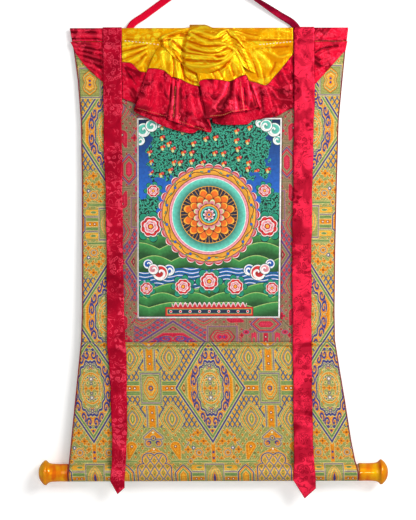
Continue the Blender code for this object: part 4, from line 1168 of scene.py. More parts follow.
def make_canvas_finish():
    """The canvas: the picture inside a narrow white edge, in matt paint."""
    material, tree, shader, flat = new_material("painted canvas", 0.6, 0.3)
    u, v, _ = split(flat)
    x, z = u * 1000.0 - CANVAS_MIDDLE, v * 1000.0
    near = abs(x)
    picture = Picture("blue")
    picture.lay(near > -1.0, "blue", between(z, -345.0, -520.0) * 1.1 + 0.14)

    ragged = add_node(tree, "TexNoise", Vector=flat, Scale=42.0, Detail=2.0)
    edge = (Number(ragged.outputs["Fac"]) - 0.5) * 90.0
    crown = (z + edge > -478.0) & (near + edge * 0.6 < 138.0)
    bushes = (near + edge * 0.5 > 116.0) & (z < -520.0 + edge)
    for region in (crown, bushes):
        picture.lay(region, "black")
    lay_foliage(picture, tree, crown | bushes, x, z, 5.4, "leaf")
    lay_foliage(picture, tree, crown | bushes, x + 31.0, z + 17.0, 7.0, "leaf")
    lay_fruit(picture, tree, crown, x, z)

    for across, up, radius in ((158.0, -392.0, 12.0), (118.0, -352.0, 12.0), (150.0, -368.0, 17.0),
                               (132.0, -358.0, 15.0)):
        lay_cloud(picture, near - across, z - up, radius, "teal")
    lay_hills(picture, x, near, z)
    for across, up, radius, paint in ((140.0, -676.0, 12.0, "blue"), (92.0, -690.0, 14.0, "blue"),
                                      (112.0, -696.0, 19.0, "red"), (128.0, -688.0, 13.0, "pink")):
        lay_cloud(picture, near - across, z - up, radius, paint)
    for across, up, radius in ((128.0, -508.0, 15.0), (134.0, -590.0, 25.0), (60.0, -728.0, 19.0),
                               (144.0, -732.0, 15.0), (0.0, -716.0, 22.0)):
        lay_peony(picture, near - across, z - up, radius)
    lay_roundel(picture, x, z - ROUNDEL_Z)
    lay_plinth(picture, x, near, z)

    slant = (PAINTING_RIGHT_BOTTOM - PAINTING_RIGHT_TOP) / (PAINTING_BOTTOM - PAINTING_TOP)
    right = PAINTING_RIGHT_TOP / MM + (z - CANVAS_TOP) * slant - u * 1000.0
    left = u * 1000.0 - PAINTING_LEFT / MM
    rim = smaller(smaller(left, right), smaller(CANVAS_TOP - z, z - CANVAS_BOTTOM))
    picture.lay(rim < 4.2, "black")
    picture.lay(rim < 3.4, "white")

    painted = dyed(tree, picture.paints.thread, [colour for _, colour in PAINTS])
    shaded = mix_colours(tree, 1.0, painted, picture.shades.thread, "MULTIPLY")
    wash = add_node(tree, "TexNoise", Vector=flat, Scale=160.0, Detail=3.0)
    washed = ramp(tree, wash.outputs["Fac"], [(0.3, (0.8, 0.8, 0.8, 1.0)),
                                              (0.7, (1.14, 1.14, 1.14, 1.0))])
    fill(tree, shader, Base_Color=mix_colours(tree, 1.0, shaded, washed, "MULTIPLY"))
    ribs = place_group(tree, weave, Cloth=flat, Rib=0.0007)
    add_bump(tree, shader, ribs.outputs["Height"], 0.25, 0.0003)
    print("canvas:", len(tree.nodes), "nodes")
    return material


painted_canvas = make_canvas_finish()

# %% [markdown]
# The mount is sewn from flat pieces. Each is a four-sided patch of the leaning, waving surface, and
# its UV map says where it was cut from the brocade, so that the figure lands where it should.

# %% Canvas, inner border and the brocade panels


def patch(corners, columns, rows):
    """x and z over a four-sided patch, mixed from its corners: top left, top right, low left, low
    right."""
    u, w = np.meshgrid(np.linspace(0, 1, columns), np.linspace(0, 1, rows))
    top_left, top_right, low_left, low_right = [np.array(corner) for corner in corners]
    upper = mix(top_left, top_right, u[..., None])
    lower = mix(low_left, low_right, u[..., None])
    spot = mix(upper, lower, w[..., None])
    return spot[..., 0], spot[..., 1]


def puckers(distance, along, height=0.0005, reach=0.012):
    """Slight puckers beside a seam: a sine along it that dies out with the distance from it."""
    fade = np.exp(-np.abs(distance) / reach)
    return height * fade * (np.sin(along / 0.0042) + 0.6 * np.sin(along / 0.0067 + 1.3))


def border_edge_right(z):
    """x of the inner border's outer edge on the right, parallel to the canvas."""
    t = (z - PAINTING_TOP) / (PAINTING_BOTTOM - PAINTING_TOP)
    return mix(PAINTING_RIGHT_TOP, PAINTING_RIGHT_BOTTOM, t) + BORDER_WIDTH


def left_inner(z):
    """x of the seam between the left binding and its panel."""
    return cloth_edge(1, z) + BINDING_WIDTH + half_gap


def right_inner(z):
    """x of the seam between the right panel and its binding."""
    return cloth_edge(2, z) - BINDING_WIDTH - half_gap


half_gap = SEAM_GAP / 2
mitre = half_gap * math.sqrt(2)
canvas_corners = ((PAINTING_LEFT + half_gap, PAINTING_TOP - half_gap),
                  (PAINTING_RIGHT_TOP - half_gap, PAINTING_TOP - half_gap),
                  (PAINTING_LEFT + half_gap, PAINTING_BOTTOM + half_gap),
                  (PAINTING_RIGHT_BOTTOM - half_gap, PAINTING_BOTTOM + half_gap))
x, z = patch(canvas_corners, 70, 94)
rim_away = np.minimum(np.minimum(x - PAINTING_LEFT, PAINTING_RIGHT_TOP - x),
                      np.minimum(PAINTING_TOP - z, z - PAINTING_BOTTOM))
canvas_lift = puckers(rim_away, x + z, 0.0002)
canvas = add_cloth("canvas", at_depth(x, z, canvas_lift), np.stack([x, z], axis=-1), CANVAS_THICKNESS,
                   painted_canvas, ["painting_canvas"], reverse=canvas_back)

out_left, out_top, out_low = PAINTING_LEFT - BORDER_WIDTH, PAINTING_TOP + BORDER_WIDTH, JOIN_Z
out_right_top, out_right_low = border_edge_right(out_top), border_edge_right(out_low)
long_side, short_side = mitre + half_gap, mitre - half_gap
BORDER_STRIPS = {
    "border_top": ((out_left + long_side, out_top - half_gap),
                   (out_right_top - long_side, out_top - half_gap),
                   (PAINTING_LEFT + short_side, PAINTING_TOP + half_gap),
                   (PAINTING_RIGHT_TOP - short_side, PAINTING_TOP + half_gap)),
    "border_bottom": ((PAINTING_LEFT + short_side, PAINTING_BOTTOM - half_gap),
                      (PAINTING_RIGHT_BOTTOM - short_side, PAINTING_BOTTOM - half_gap),
                      (out_left + long_side, out_low + half_gap),
                      (out_right_low - long_side, out_low + half_gap)),
    "border_left": ((out_left + half_gap, out_top - long_side),
                    (PAINTING_LEFT - half_gap, PAINTING_TOP - short_side),
                    (out_left + half_gap, out_low + long_side),
                    (PAINTING_LEFT - half_gap, PAINTING_BOTTOM + short_side)),
    "border_right": ((PAINTING_RIGHT_TOP + half_gap, PAINTING_TOP - short_side),
                     (out_right_top - half_gap, out_top - long_side),
                     (PAINTING_RIGHT_BOTTOM + half_gap, PAINTING_BOTTOM + short_side),
                     (out_right_low - half_gap, out_low + long_side)),
}
# centre of a lozenge in each strip: x, z (m); level strips are cut with the figure turned a quarter
BORDER_CENTRES = {"border_top": (-0.0867, -0.2550), "border_bottom": (-0.0867, -0.8855),
                  "border_left": (-0.1162, -0.6707), "border_right": (0.1047, -0.6555)}
for name, corners in BORDER_STRIPS.items():
    level = name in ("border_top", "border_bottom")
    x, z = patch(corners, 110 if level else 16, 16 if level else 130)
    centre_x, centre_z = BORDER_CENTRES[name]
    flat = np.stack([z - centre_z, x - centre_x] if level else [x - centre_x, z - centre_z], axis=-1)
    inner_edge = {"border_top": z - PAINTING_TOP, "border_bottom": PAINTING_BOTTOM - z,
                  "border_left": PAINTING_LEFT - x, "border_right": x - PAINTING_RIGHT_TOP}[name]
    depth = puckers(inner_edge, x if level else z, 0.0003) + 0.0006 * round_bump(inner_edge / 0.006)
    strip = add_cloth(name + "_strip", at_depth(x, z, depth), flat, BROCADE_THICKNESS, border_brocade,
                      [name], reverse=border_back)

# centres of the lozenges: x, z and how far x moves for each metre up
LEFT_STRIP, RIGHT_STRIP = (-0.2350, -0.3715, 0.0), (0.2323, -0.3669, 0.0252)
BOTTOM_PANEL = (-0.0014, -0.9649, -0.047)
ROWS_DOWN = 2                # the bottom panel is cut two repeats further down the cloth


def cut_from(place, x, z, rows_down=0):
    """Flat coordinates on the brocade of a place on the mount."""
    centre_x, centre_z, lean = place
    across = x - centre_x - lean * (z - centre_z)
    return np.stack([across, z - centre_z - rows_down * REPEAT_DOWN * MM], axis=-1)


x, z = patch(((out_left + half_gap, CLOTH_TOP), (border_edge_right(CLOTH_TOP) - half_gap, CLOTH_TOP),
              (out_left + half_gap, out_top + half_gap),
              (border_edge_right(out_top) - half_gap, out_top + half_gap)), 60, 24)
panel = add_cloth("top_panel", at_depth(x, z, 0 * x), cut_from(LEFT_STRIP, x, z), BROCADE_THICKNESS,
                  gold_brocade, ["panel_top"], reverse=gold_back)

SIDE_COLUMNS = 22
side_z = np.linspace(CLOTH_TOP, JOIN_Z + half_gap, 200)
for name, node, left, right, place in (
        ("left_panel", "panel_left", left_inner(side_z), np.full(len(side_z), out_left - half_gap),
         LEFT_STRIP),
        ("right_panel", "panel_right", border_edge_right(side_z) + half_gap, right_inner(side_z),
         RIGHT_STRIP)):
    left, right = left[:, None], right[:, None]
    x = mix(left, right, np.linspace(0, 1, SIDE_COLUMNS)[None, :])
    z = np.repeat(side_z[:, None], SIDE_COLUMNS, axis=1)
    seam = x - right if node == "panel_left" else left - x
    panel = add_cloth(name, at_depth(x, z, puckers(seam, z, 0.0003)), cut_from(place, x, z),
                      BROCADE_THICKNESS, gold_brocade, [node], reverse=gold_back)

# %% [markdown]
# The bottom panel starts with a narrow rounded tuck, hangs down and wraps round the roller. The
# wrap is an arc round the rod's centre; flat coordinates run on along the arc, so the figure keeps
# its size there.

# %% Bottom panel with tuck and sleeve
TUCK_Z, TUCK_HEIGHT, TUCK_HALF_HEIGHT = -0.8606, 0.0040, 0.0034
TUCK_GROOVE_Z, TUCK_GROOVE_DEPTH = -0.8668, 0.0012
TUCK_FULL_TO_X, TUCK_FADE, TUCK_LEFT_AT_EDGE = 0.205, 0.040, 0.35


def tuck(x, z):
    """Height of the fold along the panel's top, less the groove below it; both sink near the edges."""
    share = mix(1.0, TUCK_LEFT_AT_EDGE, soft_step((np.abs(x) - TUCK_FULL_TO_X) / TUCK_FADE))
    ridge = TUCK_HEIGHT * round_bump((z - TUCK_Z) / TUCK_HALF_HEIGHT)
    groove = TUCK_GROOVE_DEPTH * round_bump((z - TUCK_GROOVE_Z) / TUCK_HALF_HEIGHT)
    return share * (ridge - groove)


def sleeve_path(steps):
    """(y, z) from the seam down the sleeve's front, round the rod and up its back."""
    open_angle = math.acos(SLEEVE_RADIUS / (SLEEVE_SEAM_Z - ROD_AXIS_Z))
    angle = np.linspace(open_angle, 2 * math.pi - open_angle, steps)
    y = ROD_AXIS_Y - SLEEVE_RADIUS * np.sin(angle)
    z = ROD_AXIS_Z + SLEEVE_RADIUS * np.cos(angle)
    clear = BROCADE_THICKNESS + 2 * SEAM_GAP
    return np.append(y, ROD_AXIS_Y + clear), np.append(z, SLEEVE_SEAM_Z - clear)


def hang_then_wrap(free_z, side_mix, left, right, relief):
    """Grid of a strip that hangs to the sleeve's seam and then wraps round the rod, with the
    distance down the cloth of each row."""
    wrap_y, wrap_z = sleeve_path(56)
    row_z = np.concatenate([free_z, wrap_z])
    x = mix(left(row_z)[:, None], right(row_z)[:, None], side_mix[None, :])
    z = np.repeat(row_z[:, None], len(side_mix), axis=1)
    grid = at_depth(x, z, relief(x, z))
    grid[len(free_z):, :, 1] = wrap_y[:, None]
    middle = grid[:, len(side_mix) // 2, 1:]
    return grid, arc_lengths(middle)


def bottom_relief(x, z):
    """The tuck, plus long soft ripples that fade in below it."""
    fade = soft_step((-0.875 - z) / 0.08) * soft_step((z - SLEEVE_SEAM_Z) / 0.03)
    ripple = np.sin(x / 0.017 + 1.5 * np.sin(z / 0.05)) * np.sin(x / 0.09 + z / 0.12)
    return tuck(x, z) + 0.0006 * fade * ripple


PANEL_COLUMNS, BINDING_COLUMNS = 170, 4
free_z = np.concatenate([np.linspace(JOIN_Z - half_gap, -0.873, 26),
                         np.linspace(-0.876, SLEEVE_SEAM_Z, 60)])
grid, down_cloth = hang_then_wrap(free_z, np.linspace(0, 1, PANEL_COLUMNS), left_inner, right_inner,
                                  bottom_relief)
flat_z = JOIN_Z - np.repeat(down_cloth[:, None], PANEL_COLUMNS, axis=1)
panel = add_cloth("bottom_panel", grid, cut_from(BOTTOM_PANEL, grid[..., 0], flat_z, ROWS_DOWN),
                  BROCADE_THICKNESS, gold_brocade, ["panel_bottom"], reverse=gold_back)

side_free_z = np.concatenate([np.linspace(HEADING_BOTTOM - SEAM_GAP, JOIN_Z, 180), free_z])
for name, node, edges in (
        ("left_binding", "binding_left",
         (lambda z: cloth_edge(1, z), lambda z: cloth_edge(1, z) + BINDING_WIDTH)),
        ("right_binding", "binding_right",
         (lambda z: cloth_edge(2, z) - BINDING_WIDTH, lambda z: cloth_edge(2, z)))):
    grid, down_cloth = hang_then_wrap(side_free_z, np.linspace(0, 1, BINDING_COLUMNS), *edges, tuck)
    flat = np.stack([grid[..., 0], np.repeat(down_cloth[:, None], BINDING_COLUMNS, axis=1)], axis=-1)
    add_cloth(name, grid, flat, BINDING_THICKNESS, red_binding, [node])

# %% [markdown]
# The heading is a strip of the cover's silk folded over the mount's top edge: red, yellow, red.
# Its path goes up behind the mount, over in a half circle and down the front.

# %% Heading


def over_the_top(half_depth, top, tail_z, steps):
    """(depth, z) up behind the heading and round its top by a half circle."""
    angle = np.linspace(0, math.pi, steps)
    depth = np.concatenate([[-half_depth], -half_depth * np.cos(angle)])
    z = np.concatenate([[tail_z], top - half_depth + half_depth * np.sin(angle)])
    return depth, z


COVER_LEFT_SEAM, COVER_RIGHT_SEAM = -0.2034, 0.1915
turn_depth, turn_z = over_the_top(HEADING_FOLD_RADIUS, HEADING_TOP - SILK_THICKNESS / 2,
                                  HEADING_BOTTOM, 12)
front_z = np.linspace(turn_z[-1], HEADING_BOTTOM, 26)[1:]
heading_depth = np.concatenate([turn_depth, np.full(len(front_z), HEADING_FOLD_RADIUS)])
heading_z = np.concatenate([turn_z, front_z])
# folds of the heading: half width, height, then x, z of each point (mm)
HEADING_FOLDS = (
    (2.2, 0.6, -322, -137, -290, -136, -252, -138), (2.2, -0.7, -322, -142, -295, -142, -265, -141),
    (3.4, 0.9, -320, -148, -288, -149, -250, -150), (2.2, -0.8, -320, -157, -285, -156, -250, -158),
    (2.0, 0.5, -318, -162, -280, -161, -252, -162), (1.8, 0.5, -200, -152, -175, -154, -150, -151),
    (2.0, -0.6, -203, -159, -160, -159, -110, -158), (2.0, 0.5, -165, -139, -140, -141, -122, -137),
    (2.0, 0.6, 64, -142, 96, -153, 140, -157, 190, -157), (2.4, -0.7, 84, -160, 140, -161, 190, -161),
    (1.8, -0.5, 60, -138, 90, -147, 110, -150), (2.6, 0.5, 120, -141, 150, -139, 180, -142),
    (2.0, -0.6, 196, -160, 240, -162, 310, -162), (3.2, 0.5, 246, -150, 262, -143, 290, -150),
    (1.8, -0.5, 244, -157, 252, -147, 258, -140), (1.8, 0.4, 280, -142, 300, -146, 316, -140),
)
HEADING_LENGTHS = (
    ("heading_red_left", "heading_left", None, COVER_LEFT_SEAM, red_damask, "red_damask"),
    ("heading_yellow", "heading_middle", COVER_LEFT_SEAM, COVER_RIGHT_SEAM, yellow_silk, "yellow_silk"),
    ("heading_red_right", "heading_right", COVER_RIGHT_SEAM, None, red_damask, "red_damask"),
)
for name, node, start, end, finish, slot in HEADING_LENGTHS:
    columns = 160 if node == "heading_middle" else 60
    u = np.linspace(0, 1, columns)[None, :]
    z = np.repeat(heading_z[:, None], columns, axis=1)
    left = cloth_edge(1, z) if start is None else start + half_gap
    right = cloth_edge(2, z) if end is None else end - half_gap
    x = mix(left, right, u) + 0.0 * z
    front = np.arange(len(heading_z)) >= len(turn_z)
    fall = (HEADING_TOP - z) / (HEADING_TOP - HEADING_BOTTOM)
    relief = fold_lines(x / MM, z / MM, HEADING_FOLDS) * front[:, None]
    lift = 0.0008 * round_bump((fall - 0.9) / 0.16) + 0.0003 * np.sin(x / 0.009 + z / 0.004)
    lift = lift + np.maximum(relief, -0.3) * MM
    depth = np.repeat(heading_depth[:, None], columns, axis=1)
    depth = depth + np.where(front[:, None], lift * soft_step(fall * 6.0), 0.0)
    grid = np.stack([x, CLOTH_TOP_Y - depth, z], axis=-1)
    path = np.stack([heading_depth, heading_z], axis=-1)
    along = np.repeat(arc_lengths(path)[:, None], columns, axis=1)
    # The folds' relief goes on the cloth as well, where the silk paints ridges lighter and troughs in
    # shade.
    piece = add_cloth(name, grid, np.stack([x, -along], axis=-1), SILK_THICKNESS, finish,
                      [node], relief)
    if node == "heading_middle":
        heading_yellow = piece

# %% [markdown]
# The cover is one wide cloth: a yellow field with a red hem and red sides. It is gathered up over
# the painting, so it runs to and fro in layers. Its table has one row for each line down the cloth:
# where the line starts and ends, and how far in front of the mount. Between two rows the surface is
# a smooth curve through them; where the strip turns back a round edge is put in.

# %% The cover's rows
# x at the top and at the hem, depth at the top and at the hem, then z of top, seam and hem (mm)
SIDE_LEFT_ROWS = (
    (-322.6, -309.8, 2.5, 2.4, -163.5, -163.5, -190.0),
    (-300.0, -291.0, 2.5, 2.8, -163.5, -163.5, -215.0),
    (-275.0, -270.0, 2.5, 3.2, -163.5, -163.5, -237.0),
    (-252.0, -253.0, 2.5, 3.2, -163.5, -163.5, -251.5),
    (-227.0, -229.0, 2.5, 3.2, -163.5, -163.5, -273.0),
    (-203.8, -203.4, 2.5, 3.2, -163.5, -163.5, -294.5),
)
FIELD_ROWS = (
    # back layer, to the right
    (-203.4, -203.0, 2.5, 3.2, -163.5, -210.5, -294.5),
    (-183.0, -183.0, 2.5, 3.4, -163.5, -212.5, -302.5),
    (-158.0, -160.0, 2.5, 3.4, -163.5, -233.0, -313.0),
    (-116.0, -121.0, 2.5, 3.4, -163.5, -237.0, -326.5),
    (-60.0, -70.0, 2.5, 3.6, -163.5, -243.0, -340.0),
    (-33.0, -24.0, 2.7, 3.8, -166.0, -247.0, -348.0),
    # middle layer, back to the left, whose longer hem shows under the front one
    (-33.0, -24.0, 4.6, 6.6, -176.0, -247.0, -364.0),
    (-52.0, -43.0, 4.4, 6.6, -178.0, -247.0, -376.0),
    (-93.0, -98.0, 4.4, 6.6, -178.0, -243.0, -363.0),
    (-115.0, -144.0, 4.6, 7.4, -177.5, -233.0, -341.0),
    (-117.0, -173.0, 5.0, 8.4, -177.0, -226.0, -326.5),
    # left flap, to the right
    (-117.0, -173.0, 7.8, 12.8, -177.0, -226.0, -321.0),
    (-108.0, -151.0, 8.2, 13.6, -177.0, -226.5, -326.5),
    (-96.0, -123.0, 8.2, 13.2, -177.0, -230.5, -335.5),
    (-86.0, -95.5, 10.2, 15.0, -177.0, -243.5, -342.0),
    (-86.0, -95.5, 8.2, 12.2, -178.0, -244.5, -343.0),
    (-89.0, -99.5, 8.0, 11.6, -179.0, -245.5, -344.0),
    # narrow pleats
    (-89.0, -99.5, 6.4, 9.2, -180.0, -246.0, -345.0),
    (-79.0, -87.5, 7.0, 10.0, -182.0, -247.0, -348.0),
    (-72.0, -77.0, 8.8, 12.4, -184.0, -249.5, -352.0),
    (-66.0, -66.0, 7.4, 9.8, -186.0, -252.0, -355.5),
    (-56.0, -47.0, 8.0, 11.6, -190.0, -260.0, -362.0),
    (-46.0, -24.0, 8.6, 12.0, -194.0, -266.0, -369.0),
    (-37.0, 0.5, 8.8, 12.6, -196.0, -268.0, -375.0),
    (-37.0, 0.5, 11.6, 16.6, -197.0, -263.0, -362.0),
    (-41.0, -6.5, 12.0, 17.4, -198.0, -259.5, -350.0),
    # right flap, to the right
    (-41.0, -6.5, 14.4, 21.4, -198.0, -256.5, -343.5),
    (-34.0, 4.0, 14.6, 22.0, -198.0, -253.5, -342.5),
    (-20.0, 27.0, 14.6, 22.4, -198.0, -252.0, -338.8),
    (-2.0, 50.0, 14.0, 21.0, -198.0, -254.5, -330.2),
    (14.0, 67.0, 12.0, 18.0, -198.0, -257.5, -328.0),
    (24.0, 80.0, 14.0, 21.0, -196.0, -254.0, -326.0),
    (33.0, 90.5, 12.0, 18.2, -194.0, -249.0, -324.5),
    (42.0, 101.0, 14.0, 20.6, -190.0, -245.0, -322.0),
    (51.0, 110.5, 12.4, 18.0, -188.0, -242.5, -317.5),
    (51.0, 110.5, 7.4, 10.6, -188.0, -246.0, -328.0),
    # layer behind it, back to the left
    (38.0, 84.0, 6.6, 9.2, -190.0, -252.5, -356.0),
    (18.0, 45.0, 6.6, 9.0, -192.0, -255.0, -357.5),
    (-6.0, 7.0, 5.8, 8.0, -190.0, -258.0, -353.0),
    # back layer, on to the right
    (-6.0, 7.0, 2.8, 3.8, -172.0, -260.0, -343.0),
    (8.0, 30.0, 2.5, 3.6, -163.5, -261.0, -336.0),
    (40.0, 68.0, 2.5, 3.6, -163.5, -262.0, -340.5),
    (70.0, 91.0, 2.5, 3.8, -163.5, -254.0, -346.0),
    (92.0, 112.0, 2.5, 4.0, -163.5, -258.5, -344.5),
    (118.5, 130.0, 2.5, 4.0, -163.5, -265.0, -340.5),
    (148.0, 151.0, 2.5, 3.6, -163.5, -243.0, -337.5),
    (171.0, 172.5, 2.5, 3.2, -163.5, -217.0, -326.5),
    (191.5, 193.5, 2.5, 3.2, -163.5, -191.0, -316.5),
)
SIDE_RIGHT_ROWS = (
    (191.9, 193.9, 2.5, 3.2, -163.5, -163.5, -316.0),
    (216.0, 217.0, 2.5, 3.2, -163.5, -163.5, -291.0),
    (240.0, 240.0, 2.5, 3.2, -163.5, -163.5, -265.0),
    (270.0, 268.0, 2.5, 2.8, -163.5, -163.5, -234.0),
    (298.0, 294.0, 2.5, 2.6, -163.5, -163.5, -205.0),
    (317.0, 312.0, 2.5, 2.4, -163.5, -163.5, -185.0),
)
SPREAD = 0.8                 # below 1, a pleat spreads soon below its top
SEAM_DROP = 0.9
FLAT_DEPTH = 4.5             # mm: the flat parts lie nearer to the mount than the pleats
COLUMN_STEP = 1.8            # mm between the grid's columns at the hem
TURN_REACH_TOP = 0.7
TROUGH_ROOM = 6.0            # mm of depth over which troughs grow to their full height

# folds and creases of the cover: half width, height (below 0 for a trough), then x, z of each
# point (mm)
LEFT_SIDE_FOLDS = (
    (2.4, 0.7, -318, -169, -285, -172, -248, -177), (2.2, -0.7, -318, -173, -285, -178, -247, -184),
    (2.4, 0.8, -317, -177, -284, -182, -246, -190), (2.2, -0.7, -315, -181, -282, -188, -246, -196),
    (2.6, 0.8, -312, -186, -280, -194, -247, -203), (2.2, -0.7, -308, -192, -278, -200, -247, -210),
    (2.6, 0.7, -304, -198, -276, -207, -248, -217), (2.2, -0.6, -298, -205, -272, -214, -248, -224),
    (2.6, 0.7, -290, -213, -270, -221, -249, -232), (2.2, -0.5, -284, -221, -266, -229, -250, -240),
    (2.4, 0.5, -300, -165, -280, -166, -262, -169), (3.0, -0.7, -256, -176, -252, -205, -252, -240),
    (2.2, 0.5, -276, -226, -264, -238, -258, -246),
)
RIGHT_SIDE_FOLDS = (
    (3.6, -1.4, 242, -190, 262, -180, 294, -175), (3.0, 1.0, 250, -197, 270, -188, 296, -181),
    (2.6, 0.6, 242, -170, 270, -169, 305, -168), (3.0, 0.9, 262, -216, 272, -213, 284, -206),
    (2.6, 0.8, 242, -234, 252, -230, 262, -224), (3.0, -0.8, 242, -214, 256, -222, 268, -231),
    (3.2, -0.7, 240, -200, 252, -206, 270, -204), (2.4, 0.7, 240, -248, 250, -244, 256, -236),
)
FIELD_FOLDS = (
    # fan on the left
    (2.2, 1.2, -204, -178, -174, -172, -146, -167), (2.4, -1.6, -204, -187, -176, -180, -148, -173),
    (2.4, 1.4, -204, -196, -178, -187, -148, -177), (2.2, -1.3, -203, -205, -178, -196, -150, -182),
    (2.6, 1.3, -192, -211, -170, -200, -148, -186), (2.6, -1.0, -176, -218, -160, -206, -148, -192),
    (3.0, 1.2, -168, -224, -158, -214, -150, -200), (1.8, 0.8, -200, -168, -170, -165, -130, -165),
    # left flap
    (4.6, 0.8, -112, -190, -108, -215, -100, -241), (1.8, -2.4, -85, -196, -84, -225, -86, -254),
    (2.0, 1.3, -79, -202, -78, -225, -73, -248), (2.6, -3.4, -69, -200, -63, -228, -59, -250),
    (4.0, -1.0, -134, -190, -140, -210, -148, -226), (3.2, 1.0, -104, -186, -96, -192, -92, -210),
    (3.2, 2.0, -54, -237, -42, -242, -32, -247), (2.0, -2.4, -59, -243, -44, -256, -30, -259),
    # right flap
    (3.0, -1.4, 22, -236, 27, -246, 30, -254), (2.2, 1.2, 38, -212, 32, -235, 29, -250),
    (2.2, 1.1, 50, -206, 57, -224, 62, -240), (1.8, -1.8, 46, -214, 50, -228, 54, -244),
    (3.0, -1.0, 6, -240, 10, -246, 12, -252), (2.6, 1.4, 70, -214, 74, -228, 78, -238),
    # flat part on the right
    (2.2, 1.2, 99, -193, 112, -220, 119, -247), (2.0, -1.4, 93, -200, 104, -224, 110, -246),
    (2.2, 1.0, 88, -177, 114, -172, 150, -169), (2.6, -1.0, 96, -184, 120, -180, 180, -176),
    (6.0, 1.0, 102, -188, 120, -200, 136, -222), (4.0, -1.0, 120, -240, 126, -250, 129, -260),
    (3.0, 0.9, 140, -190, 160, -200, 178, -196), (3.4, -0.9, 150, -214, 146, -226, 138, -240),
)
HEM_FOLDS = (
    # left flap and pleats
    (2.0, 0.6, -152, -256, -147, -259, -140, -258), (2.0, -0.5, -155, -262, -150, -265, -142, -266),
    (2.0, 0.6, -158, -272, -152, -277, -146, -276), (2.0, -0.5, -160, -280, -155, -284, -148, -286),
    (2.2, 0.6, -163, -292, -157, -297, -150, -295), (3.0, 0.6, -103, -262, -100, -278, -96, -294),
    (4.5, -0.5, -132, -240, -136, -270, -140, -300), (3.6, 0.4, -130, -262, -122, -284, -126, -306),
    (2.6, -1.4, -90, -264, -93, -300, -99, -344), (2.0, 1.2, -85, -252, -87, -300, -91, -346),
    (2.0, -1.0, -80, -258, -82, -300, -85, -347), (2.0, 1.0, -75, -262, -77, -300, -79, -349),
    (2.6, -0.8, -68, -262, -69, -300, -70, -350), (5.0, 0.7, -46, -286, -42, -310, -38, -340),
    (3.4, -0.7, -56, -280, -54, -315, -56, -350), (2.6, 0.6, -62, -330, -40, -344, -10, -358),
    # right flap
    (7.0, -1.7, 50, -256, 42, -286, 24, -322), (4.6, 1.2, 37, -262, 25, -290, 8, -316),
    (2.4, 1.3, 56, -262, 56, -290, 58, -326), (2.4, -1.3, 78, -274, 80, -304, 82, -328),
    (2.2, 1.1, 69, -252, 73, -290, 77, -326), (2.2, 1.2, 86, -256, 88, -284, 89, -312),
    (2.4, -1.1, 92, -262, 97, -290, 102, -312), (2.2, 1.1, 98, -268, 106, -294, 113, -314),
    (2.8, 1.0, -28, -298, -22, -320, -10, -340), (4.5, -0.9, -22, -268, -23, -284, -24, -298),
    (3.0, -0.9, 64, -262, 65, -290, 68, -322), (4.0, 0.8, -6, -262, 10, -270, 14, -284),
    (3.4, -0.7, 20, -258, 16, -274, 2, -292), (2.4, 0.6, 0, -338, 14, -328, 30, -322),
    # layers behind the flaps
    (2.0, 0.9, 124, -266, 134, -290, 140, -312), (1.6, 0.9, 128, -263, 146, -282, 158, -297, 191, -300),
    (5.0, -0.9, 146, -272, 166, -280, 188, -282), (1.6, 0.8, 156, -216, 172, -245, 191, -286),
    (6.0, -1.2, 114, -272, 119, -296, 122, -326), (1.8, 0.6, 146, -302, 154, -316, 156, -332),
    (2.4, -0.6, 140, -300, 146, -318, 146, -334), (2.4, -0.7, 168, -228, 184, -232, 191, -246),
    (1.8, 0.7, -203, -232, -196, -240, -192, -254), (2.6, -0.8, -196, -226, -182, -246, -170, -262),
    (1.8, 0.6, -194, -270, -184, -276, -176, -290), (1.6, 0.5, -203, -262, -196, -266, -188, -264),
)
COVER_FOLDS = {"left": LEFT_SIDE_FOLDS, "right": RIGHT_SIDE_FOLDS, "field": FIELD_FOLDS,
               "hem": HEM_FOLDS}
# A fold's height over this sets how strongly its ridge is painted lighter or its trough painted in
# shade.
MARK_HEIGHT = 1.2            # a fold this high (mm) is fully marked as ridge or trough


def with_round_turns(rows):
    """Adds a row past each place where the strip turns back, so that its folded edge is round."""
    rounded = [rows[0]]
    for before, after in zip(rows, rows[1:]):
        if before[:2] == after[:2]:
            reach = abs(after[3] - before[3]) / 2
            side = 1 if rounded[-1][1] > rounded[-2][1] else -1
            apex = [mix(a, b, 0.5) for a, b in zip(before, after)]
            apex[0] += side * reach * TURN_REACH_TOP
            apex[1] += side * reach
            rounded.append(tuple(apex))
        rounded.append(after)
    return np.array(rounded)


def strip_rows(rows):
    """The table's rows made finer: smooth curves through them, by distance along the hem."""
    rows = with_round_turns(rows)
    stations = arc_lengths(rows[:, [1, 3]] + 0.0)
    stations = stations + 0.4 * np.arange(len(stations))
    finer = [np.linspace(a, b, max(5, int((b - a) / COLUMN_STEP)), endpoint=False)
             for a, b in zip(stations, stations[1:])]
    at = np.append(np.concatenate(finer), stations[-1])
    return at, smooth_through(stations, rows, at)


